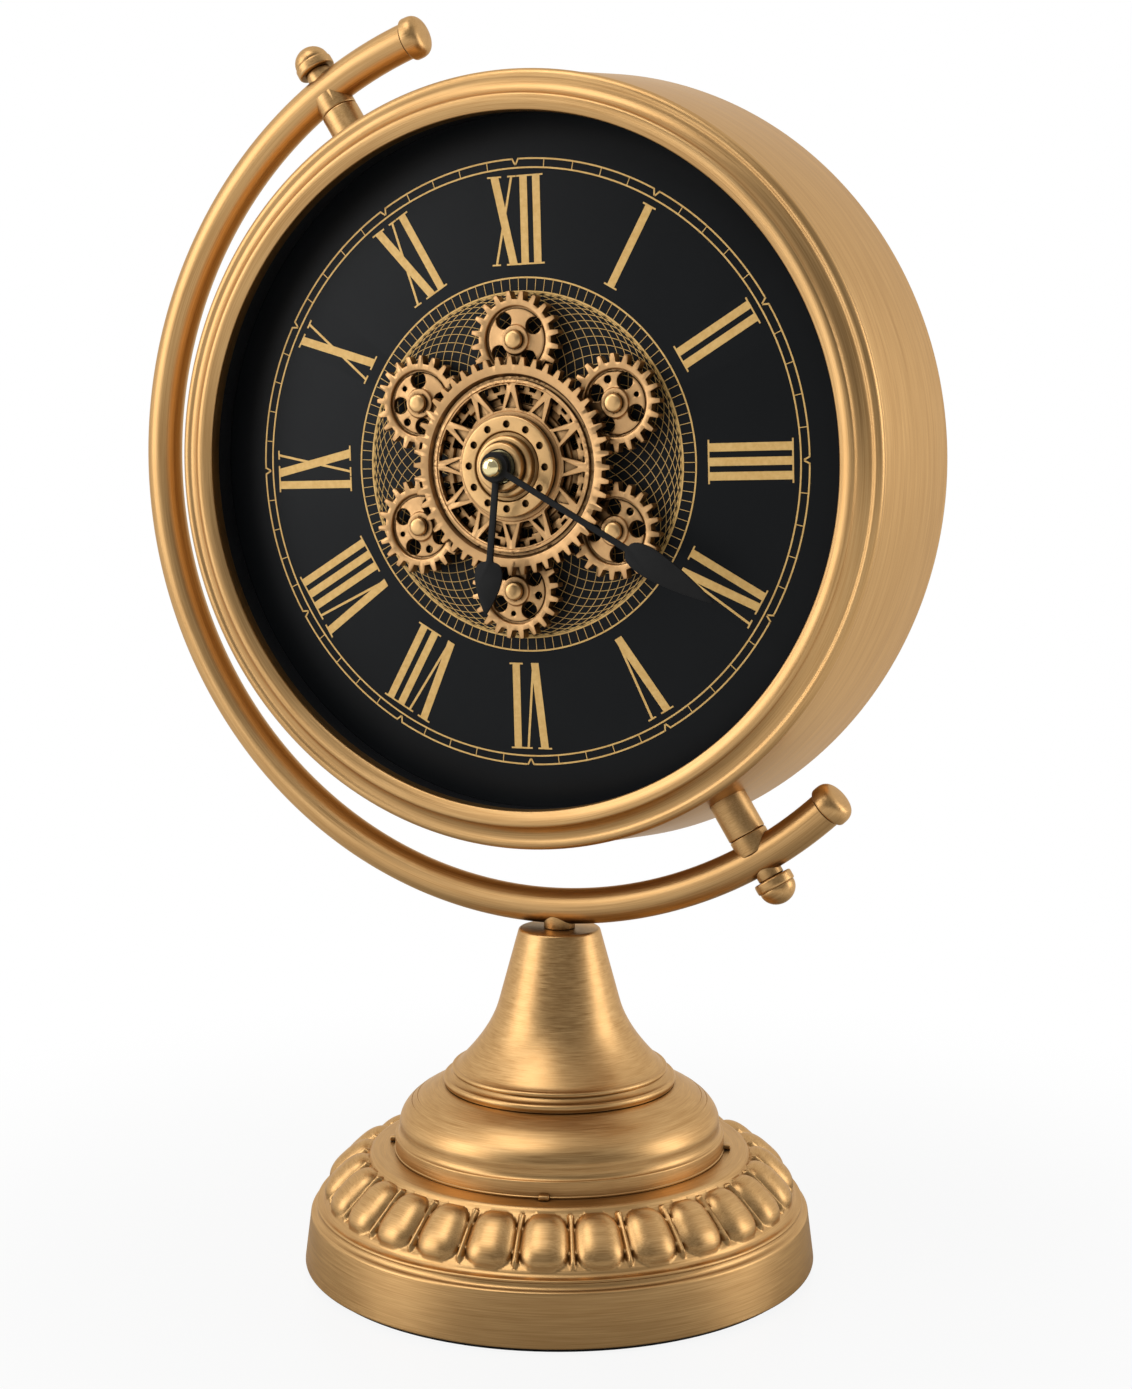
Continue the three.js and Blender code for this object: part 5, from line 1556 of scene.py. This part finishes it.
    def planets(self) -> None:
        """Six planets, each with a gap towards a tooth of the rear gear."""
        masters = [self.planet(False), self.planet(True)]
        face_in = about(math.pi + math.pi / self.planet_teeth)
        for i in range(self.planet_count):
            move = about(TURN * i / self.planet_count) @ aside(0, self.orbit) @ face_in
            gear = copied(masters[min(i, 1)], move, f"planet_wheel_{i + 1}")
            self.fit(sheen(gear), Finishes.BRONZE, f"planet_gear_{i + 1}", body=f"planet_{i + 1}")
        for master in masters:
            bpy.data.objects.remove(master)

    def rear_gear(self) -> None:
        """Gear behind the front one: toothed rim, sunk web with slots, and a hub ring."""
        root, tip = self.radii(self.rear_teeth)
        back, face = self.planet_back, self.planet_front
        outline = [
            (self.hub_bore, back), (root, back), (root, face), (root - 1.6, face),
            (root - 2.0, face + 1.4),
            *[(radius, face + depth) for radius, depth in self.rear_steps],
            (self.hub_bore, face + 0.2),
        ]
        gear = self.wheel("rear_wheel", outline, self.rear_teeth, root, tip)
        half, (near, far) = self.slot_half, self.slot
        corners = [polar(near, -half), polar(far, -half), polar(far, half), polar(near, half)]
        slot = slab("slot", corners, back + 1, 6)
        work(gear, ring_of(slot, self.slot_count, Axis.DIAL, TURN / self.slot_count / 2))
        self.fit(sheen(soften(gear, 0.2)), Finishes.BRONZE, "rear_gear")

    def front_gear(self) -> None:
        """Large gear: flat toothed rim, dark groove, thin ring, and spokes shaped like a narrow A."""
        root, face, back = self.front_root, self.front_face, self.front_back
        web = face + 0.9
        low, high = self.window
        outline = [
            (self.hub_bore, back), (root, back), (root, face), (root - 2.3, face),
            *bend((root - 2.6, face + 0.1), (root - 3.0, face + 0.9), (root - 3.5, face + 1.7), 4),
            (root - 4.3, face + 1.7), (root - 4.5, face + 0.6), (root - 5.3, face + 0.6),
            (root - 5.5, web), (low - 0.4, web), (low - 0.7, web - 0.4), (self.hub_bore, web - 0.4),
        ]
        gear = self.wheel("front_wheel", outline, self.front_teeth, root, self.front_tip)
        pitch = TURN / self.spoke_count
        halves = (pitch * low / 2 - self.spoke_foot / 2, pitch * high / 2 - self.spoke_head / 2)
        window = soften(sector("window", (low, high), halves, back + 1, 6), 0.5, 60, 3)
        work(gear, ring_of(window, self.spoke_count, Axis.DIAL, pitch / 2))
        pocket_halves = (self.spoke_foot / 2 - self.spoke_bar, 0.12)
        pocket = sector("pocket", (low + 0.4, high - 2.4), pocket_halves, web + 1.1, 4)
        work(gear, ring_of(pocket, self.spoke_count, Axis.DIAL))
        self.fit(sheen(soften(gear, 0.12, 55, 1)), Finishes.BRONZE, "front_gear")

    def flange(self) -> None:
        """Flange with a ring of holes and a stepped boss."""
        face, back = self.flange_face, self.flange_back
        (boss, boss_face), (nose, nose_face) = self.boss, self.nose
        corners = [
            (self.hub_bore, back, 0), (self.flange_radius, back, 0.3),
            (self.flange_radius, face, 0.7), (boss + 1.5, face, 0.3), (boss + 1.1, face + 0.7, 0.2),
            (boss + 0.1, face + 0.7, 0.2), (boss, boss_face, 1.2), (nose + 0.5, boss_face, 0.15),
            (nose + 0.4, boss_face + 0.5, 0), (nose, boss_face + 0.5, 0), (nose, nose_face, 0.9),
            (self.hub_bore, nose_face, 0.2),
        ]
        flange = turned("drilled_flange", rounded(corners), Axis.DIAL, Facets.FLANGE)
        drill = self.drill(*self.flange_hole, 0.0, face + 1.6, face - 1)
        work(flange, ring_of(drill, self.flange_holes, Axis.DIAL))
        self.fit(sheen(flange), Finishes.SATIN_BRASS, "gear_flange")


@dataclass
class HandSize:
    """Sizes of one hand: lengths from the middle, widths, depth of its back and its angle."""

    length: float
    spade: float
    width: float
    stem: float
    back: float
    angle: float


@dataclass
class Hands(SubAssembly):
    """Two spade hands on their pipe and arbor, and the domed cap nut in front of them."""

    hour: HandSize = field(default_factory=lambda: HandSize(45, 29, 9.4, 2.1, -29.35, math.radians(185)))
    minute: HandSize = field(default_factory=lambda: HandSize(81, 50, 8.8, 1.9, -31.15, math.radians(118.5)))
    thick: float = 0.9
    belly: float = 0.27
    shoulder: float = 0.02
    flank: Point = (0.92, 0.56)
    point: float = 0.35
    collet: float = 4.6
    pipe: float = 2.5
    arbor: float = 1.2
    arbor_back: float = 11.0
    cap_radius: float = 3.1
    cap_back: float = -32.1
    cap_height: float = 3.4

    def build(self) -> None:
        """Model and dress the hands."""
        hour = self.hand("hour_spade", self.hour, self.pipe)
        self.fit(sheen(hour), Finishes.HAND, "hour_hand", body="hour_hand")
        minute = self.hand("minute_spade", self.minute, self.arbor)
        self.fit(sheen(minute), Finishes.HAND, "minute_hand", body="minute_hand")
        self.cap()

    def hand(self, name: str, size: HandSize, shaft: float) -> Object:
        """Model a hand: collet, stem and a spade with a long point.

        Args:
            name: Name of the piece.
            size: The hand's sizes.
            shaft: Radius of the shaft behind it.

        Returns:
            The hand, turned to its angle.
        """
        half, wide = size.stem / 2, size.width / 2
        blade = size.length - size.spade
        belly = size.spade + self.belly * blade
        flank = (self.flank[0] * wide, size.spade + self.flank[1] * blade)
        side = [
            (half, 0.0), (half, size.spade - 1.2),
            *bend((half, size.spade - 0.9), (half, size.spade), (half + 0.5, size.spade), 3),
            *bend((half + 0.6, size.spade), (wide, size.spade + self.shoulder * blade), (wide, belly), 7),
            *bend((wide, belly), flank, (self.point, size.length), 9)[1:],
        ]
        mirrored = [(-x, z) for x, z in reversed(side)]
        plate = soften(slab(name, side + mirrored, size.back, self.thick), 0.16)
        front = size.back - self.thick
        collet = eased(
            (0, self.arbor_back, 0), (shaft, self.arbor_back, 0), (shaft, size.back, 0),
            (self.collet, size.back, 0.2), (self.collet, front, 0.3), (0, front, 0),
        )
        work(plate, turned("collet", collet, Axis.DIAL, Facets.SMALL), Join.ADD)
        return moved(plate, about(size.angle))

    def cap(self) -> None:
        """Domed nut with a small centre mark on the arbor's end."""
        back, front = self.cap_back, self.cap_back - self.cap_height
        wide = self.cap_radius
        outline = [
            (0, back),
            *eased((0, back, 0), (wide, back, 0.25), (wide, back - 0.8, 0))[1:],
            *bend((wide - 0.05, back - 0.9), (wide, front), (0.45, front), 10),
            (0.35, front + 0.1), (0, front + 0.45),
        ]
        cap = turned("domed_cap", outline, Axis.DIAL, Facets.MIDDLE)
        self.fit(sheen(cap, 45), Finishes.BRASS, "cap_nut", body="minute_hand")


@dataclass
class Back(SubAssembly):
    """Rear cover with its rails, the sliding door, the switch, the cover screws and what the hatch shows."""

    cover_radius: float = 119.3
    front: float = 30.05
    face: float = 31.85
    hatch_half: float = 24.65
    hatch_low: float = -61.1
    hatch_high: float = 26.8
    gap: float = 0.3
    rail: float = 2.5
    rail_lip: float = 1.2
    rail_lap: float = 1.5
    travel: float = 58.0
    screw_orbit: float = 114.8
    sheet: float = 1.6
    rib_count: int = 5
    rib_start: float = 4.0
    rib_pitch: float = 1.7
    rib_width: float = 0.9
    switch_slot: Point = (1.8, 4.8)
    slot_depths: Point = (20.0, 40.0)
    switch_travel: float = 4.0
    screw_count: int = 3
    screw_head: Point = (3.0, 1.9)
    screw_shank: Point = (1.4, 7.0)
    screw_recess: Point = (1.6, 0.35)
    cell_radius: float = 7.1
    cell_tip: Point = (2.6, 1.2)
    knob_teeth: int = 24
    knob_radius: float = 6.0
    knob_stem: float = 1.5
    knob_flute: float = 0.35
    knob_height: float = 4.0

    def build(self) -> None:
        """Model and dress the back."""
        low, high = self.span_of("battery_door")
        self.cover(low, high)
        self.door(low, high)
        self.slider()
        self.screws()
        self.cells()
        self.knob()

    def cover(self, door_low: Vector, door_high: Vector) -> None:
        """Round cover with a grooved edge, the hatch, the switch slot and two rails.

        Args:
            door_low: The door's lowest corner.
            door_high: The door's highest corner.
        """
        wide, face, front = self.cover_radius, self.face, self.front
        outline = eased(
            (0, front, 0), (wide, front, 0.3), (wide, face, 0.6), (wide - 9.5, face, 0.2),
            (wide - 10.0, face - 0.5, 0.2), (wide - 11.5, face - 0.5, 0.2),
            (wide - 12.0, face, 0.2), (0, face, 0),
            steps=3,
        )
        cover = turned("rear_cover", outline, Axis.DIAL, Facets.DISC)
        half = self.hatch_half
        work(cover, block("hatch", (-half, 0, self.hatch_low), (half, 40, self.hatch_high), 1.0))
        slot_low, slot_high = self.span_of("switch_slider")
        across, along = self.switch_slot
        inside, outside = self.slot_depths
        x, z = (slot_low.x + slot_high.x) / 2, (slot_low.z + slot_high.z + self.switch_travel) / 2
        work(cover, block("slot", (x - across, inside, z - along), (x + across, outside, z + along), 0.4))
        end = door_high.x + self.travel
        sheet_back = face + self.gap + self.sheet
        for edge, side in ((door_high.z, 1), (door_low.z, -1)):
            near, far = edge + side * self.gap, edge + side * (self.gap + self.rail)
            lap = edge - side * self.rail_lap
            lip = sheet_back + self.gap
            for inner, depth in ((near, face - 0.9), (lap, lip)):
                low = (door_low.x, depth, min(inner, far))
                high = (end, lip + self.rail_lip, max(inner, far))
                work(cover, block("rail", low, high, 0.25), Join.ADD)
        stop_low = (door_low.x - self.gap - self.rail, face - 0.9, door_low.z)
        stop_high = (door_low.x - self.gap, sheet_back, door_high.z)
        work(cover, block("stop", stop_low, stop_high, 0.3), Join.ADD)
        self.fit(sheen(cover), Finishes.PLASTIC, "back_cover")

    def door(self, low: Vector, high: Vector) -> None:
        """Sliding door with a row of grip ribs.

        Args:
            low: The door's lowest corner.
            high: The door's highest corner.
        """
        sheet_back = low.y + self.sheet
        sheet = block("sliding_door", low, (high.x, sheet_back, high.z), 0.3)
        middle, half = (low.z + high.z) / 2, (high.z - low.z) / 4
        for i in range(self.rib_count):
            x = low.x + self.rib_start + self.rib_pitch * i
            foot, head = (x, sheet_back - 0.5, middle - half), (x + self.rib_width, high.y, middle + half)
            work(sheet, block("rib", foot, head, 0.3), Join.ADD)
        self.fit(sheen(sheet), Finishes.PLASTIC, "battery_door", body="battery_door")

    def slider(self) -> None:
        """Switch slider with a stepped cap."""
        low, high = self.span_of("switch_slider")
        cap_low = high.y - 1.4
        cap = block("switch_cap", (low.x, cap_low, low.z), high, 0.35)
        stem_low, stem_high = (low.x + 1, low.y, low.z + 1), (high.x - 1, cap_low + 0.7, high.z - 1)
        work(cap, block("stem", stem_low, stem_high, 0.2), Join.ADD)
        for i in range(3):
            z = (low.z + high.z) / 2 + 1.4 * (i - 1)
            deep, out = (low.x - 1, high.y - 0.4, z - 0.3), (high.x + 1, high.y + 1, z + 0.3)
            work(cap, block("groove", deep, out))
        self.fit(sheen(cap), Finishes.STEEL, "switch_slider", body="switch_slider")

    def screws(self) -> None:
        """Pan-head cover screws with a cross recess."""
        (head, rise), (shank, depth), (long, wide) = self.screw_head, self.screw_shank, self.screw_recess
        face, top, seat = self.face, self.face + rise, self.face + 0.05
        outline = [
            (0, face - depth), (shank, face - depth),
            *eased((shank, seat, 0), (head, seat, 0.2), (head, face + 0.7, 0)),
            *bend((head, face + 0.8), (head * 0.9, top), (head * 0.3, top), 6),
            (0, top),
        ]
        screw = turned("screw", outline, Axis.DIAL, Facets.SCREW)
        for reach in (Vector((long, 0, wide)), Vector((wide, 0, long))):
            deep, out = Vector((0, top - 1.0, 0)), Vector((0, top + 1, 0))
            work(screw, block("recess", deep - reach, out + reach))
        moved(screw, aside(0, self.screw_orbit))
        for i in range(self.screw_count):
            twin = copied(screw, about(TURN * i / self.screw_count), f"pan_screw_{i + 1}")
            self.fit(sheen(twin), Finishes.STEEL, f"cover_screw_{i + 1}")
        bpy.data.objects.remove(screw)

    def cells(self) -> None:
        """Dry cells with a rolled edge and a contact tip."""
        wide, (tip, rise) = self.cell_radius, self.cell_tip
        turns = {"clock_battery": math.pi, "gear_battery_upper": math.pi, "gear_battery_lower": 0.0}
        for node, angle in turns.items():
            low, high = self.span_of(node)
            middle, half = (low + high) / 2, (high.x - low.x) / 2
            outline = eased(
                (0, -half, 0), (wide, -half, 0.6), (wide, half - rise, 0.7),
                (tip, half - rise, 0.2), (tip, half, 0.4), (0, half, 0),
            )
            cell = turned(node.replace("battery", "dry_cell"), outline, Axis.ACROSS, Facets.MIDDLE)
            moved(cell, Matrix.Translation(middle) @ about(angle))
            self.fit(sheen(cell), Finishes.WRAP, node)

    def knob(self) -> None:
        """Setting knob with a fluted edge."""
        low, high = self.span_of("set_knob")
        middle = (low + high) / 2
        wide, stem, face = self.knob_radius, self.knob_stem, high.y - self.knob_height
        root = wide - self.knob_flute
        outline = eased(
            (0, low.y, 0), (stem, low.y, 0.2), (stem, face, 0), (root, face, 0), (root, high.y, 0),
            (wide - 1.2, high.y, 0.2), (wide - 1.5, high.y - 0.4, 0.2), (0, high.y - 0.4, 0),
            steps=2,
        )
        knob = turned("fluted_knob", outline, Axis.DIAL, TOOTH_FACETS * self.knob_teeth)
        toothed(knob, self.knob_teeth, root, wide)
        soften(knob, 0.12)
        moved(knob, aside(middle.x, middle.z))
        self.fit(sheen(knob), Finishes.PLASTIC, "set_knob", body="set_knob")


@dataclass
class Inside:
    """Pieces that stay as the frame has them, hidden in the base and the case, with their finishes."""

    steel: tuple[str, ...] = (
        "tie_rod", "tie_nut", "tie_washer", "arc_anchor",
        "upper_pivot_bolt", "lower_pivot_bolt", "gear_motor",
    )
    plastic: tuple[str, ...] = ("battery_tray", "switch_body", "gear_box", "clock_movement")
    brass: tuple[str, ...] = ("gear_tube", "drive_wheel", "motor_pinion", "centre_bush")
    iron: tuple[str, ...] = ("ballast_plate",)

    def dress(self) -> None:
        """Give each hidden piece its material."""
        groups = {
            Finishes.STEEL: self.steel,
            Finishes.PLASTIC: self.plastic,
            Finishes.BRASS: self.brass,
            Finishes.IRON: self.iron,
        }
        for finish, names in groups.items():
            for name in names:
                obj = frame["nodes"][name]
                obj.data.materials.clear()
                obj.data.materials.append(finish.material())
                log.info("%s keeps its frame mesh, in %s", name, finish.name)


@dataclass(frozen=True)
class Lamp:
    """A soft box: its place and the point it faces in metres, its width and height, and its power."""

    name: str
    place: Triple
    aim: Triple
    size: Point
    watts: float

    def hang(self) -> None:
        """Add the lamp to the scene."""
        facing = (Vector(self.aim) - Vector(self.place)).to_track_quat("-Z", "Y").to_euler()
        begin()
        bpy.ops.object.light_add(type="AREA", location=self.place, rotation=facing)
        lamp = bpy.context.object
        lamp.name = self.name
        lamp.data.shape = "RECTANGLE"
        lamp.data.size, lamp.data.size_y = self.size
        lamp.data.energy = self.watts


@dataclass
class Studio:
    """Pale floor, white background, soft boxes, and the camera at the photograph's viewing angle."""

    image_height: int = 1389
    focal_pixels: float = 2326.0
    distance: float = 0.73186
    azimuth: float = math.radians(25)
    height: float = 0.27236
    pan: float = math.radians(0.164)
    tilt: float = math.radians(6.884)
    floor_size: float = 12.0
    floor_tone: str = "#bcbcba"
    floor_roughness: float = 0.3
    floor_fade: Point = (0.1, 0.36)
    floor_glow: float = 0.9
    world_level: float = 0.45
    world_fade: Point = (-0.8, 0.2)
    front_level: float = 0.28
    sensor: float = 36.0
    clip_start: float = 0.01
    lamps: tuple[Lamp, ...] = (
        Lamp("key_softbox", (-1.15, -1.04, 0.66), (0, 0, 0.25), (1.0, 1.15), 10.5),
        Lamp("fill_softbox", (1.42, 0.5, 0.55), (0, 0, 0.25), (0.7, 1.0), 6.5),
        Lamp("top_softbox", (-0.35, -0.7, 1.5), (0, 0, 0.2), (0.9, 0.8), 7.0),
    )

    def build(self) -> None:
        """Set up floor, world, lamps and camera."""
        bpy.context.scene.view_settings.view_transform = "Standard"
        self.floor()
        self.world()
        for lamp in self.lamps:
            lamp.hang()
        self.camera()

    @staticmethod
    def rays(tree: NodeTree) -> tuple[NodeSocket, NodeSocket]:
        """Tell apart the rays that show the background.

        Args:
            tree: The tree that asks.

        Returns:
            1 for a ray from the camera, and 1 for a ray that metal or glass sends on.
        """
        path = add(tree, "ShaderNodeLightPath").outputs
        mirrored = calc(tree, "ADD", path["Is Glossy Ray"], path["Is Transmission Ray"], True)
        return path["Is Camera Ray"], mirrored

    def floor(self) -> None:
        """Pale floor that takes the object's shadow and fades to white away from it."""
        begin()
        bpy.ops.mesh.primitive_plane_add(size=self.floor_size)
        floor = bpy.context.object
        floor.name = "floor"
        material = bpy.data.materials.new("pale_satin_board")
        material.use_nodes = True
        tree = material.node_tree
        tree.nodes.clear()
        satin = {"Base Color": self.floor_tone, "Roughness": self.floor_roughness}
        board = add(tree, "ShaderNodeBsdfPrincipled", links=satin)
        glow = add(tree, "ShaderNodeEmission", links={"Color": WHITE, "Strength": 1.0})
        places = add(tree, "ShaderNodeTexCoord").outputs["Object"]
        away = vectors(tree, "LENGTH", places).outputs["Value"]
        far = ranged(tree, away, self.floor_fade, ease="SMOOTHSTEP")
        direct, mirrored = self.rays(tree)
        near_glow = calc(tree, "MULTIPLY", direct, self.floor_glow)
        share = between(tree, far, near_glow, calc(tree, "ADD", direct, mirrored, True))
        mixed = add(tree, "ShaderNodeMixShader", links={0: share, 1: board.outputs[0], 2: glow.outputs[0]})
        add(tree, "ShaderNodeOutputMaterial", links={"Surface": mixed.outputs[0]})
        floor.data.materials.append(material)

    def world(self) -> None:
        """White for the camera, and grey on the viewer's side for metal and glass."""
        world = bpy.data.worlds.new("studio")
        world.use_nodes = True
        tree = world.node_tree
        tree.nodes.clear()
        towards = add(tree, "ShaderNodeTexCoord").outputs["Generated"]
        away = (-math.sin(self.azimuth), math.cos(self.azimuth), 0.0)
        depth = vectors(tree, "DOT_PRODUCT", towards, away).outputs["Value"]
        reflected = ranged(tree, depth, self.world_fade, (self.front_level, 1.0), "SMOOTHSTEP")
        direct, mirrored = self.rays(tree)
        indirect = between(tree, mirrored, self.world_level, reflected)
        strength = between(tree, direct, indirect, 1.0)
        back = add(tree, "ShaderNodeBackground", links={"Color": WHITE, "Strength": strength})
        add(tree, "ShaderNodeOutputWorld", links={"Surface": back.outputs[0]})
        bpy.context.scene.world = world

    def camera(self) -> None:
        """Camera where the photograph was taken from."""
        ahead = Vector((-math.sin(self.azimuth), math.cos(self.azimuth), 0))
        right = Vector((math.cos(self.azimuth), math.sin(self.azimuth), 0))
        ahead = ahead * math.cos(self.pan) + right * math.sin(self.pan)
        ahead = ahead * math.cos(self.tilt) - Vector((0, 0, 1)) * math.sin(self.tilt)
        place = (self.distance * math.sin(self.azimuth), -self.distance * math.cos(self.azimuth), self.height)
        begin()
        bpy.ops.object.camera_add(location=place, rotation=ahead.to_track_quat("-Z", "Y").to_euler())
        camera = bpy.context.object
        camera.data.sensor_width = self.sensor
        camera.data.lens = self.focal_pixels / self.image_height * self.sensor
        camera.data.clip_start = self.clip_start
        bpy.context.scene.camera = camera


def main() -> None:
    """Build the clock round the frame and set up the studio."""
    logging.basicConfig(level=logging.INFO, format="%(name)s: %(message)s")
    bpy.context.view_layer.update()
    centre = case_centre()
    Studio().build()
    Base("stand", Vector()).build()
    Arc("stand", centre).build()
    Case("case", centre).build()
    Dial("case", centre).build()
    GearTrain("main_gear", centre).build()
    Hands("minute_hand", centre).build()
    Back("case", centre).build()
    Inside().dress()
    begin()


if __name__ == "__main__":
    main()
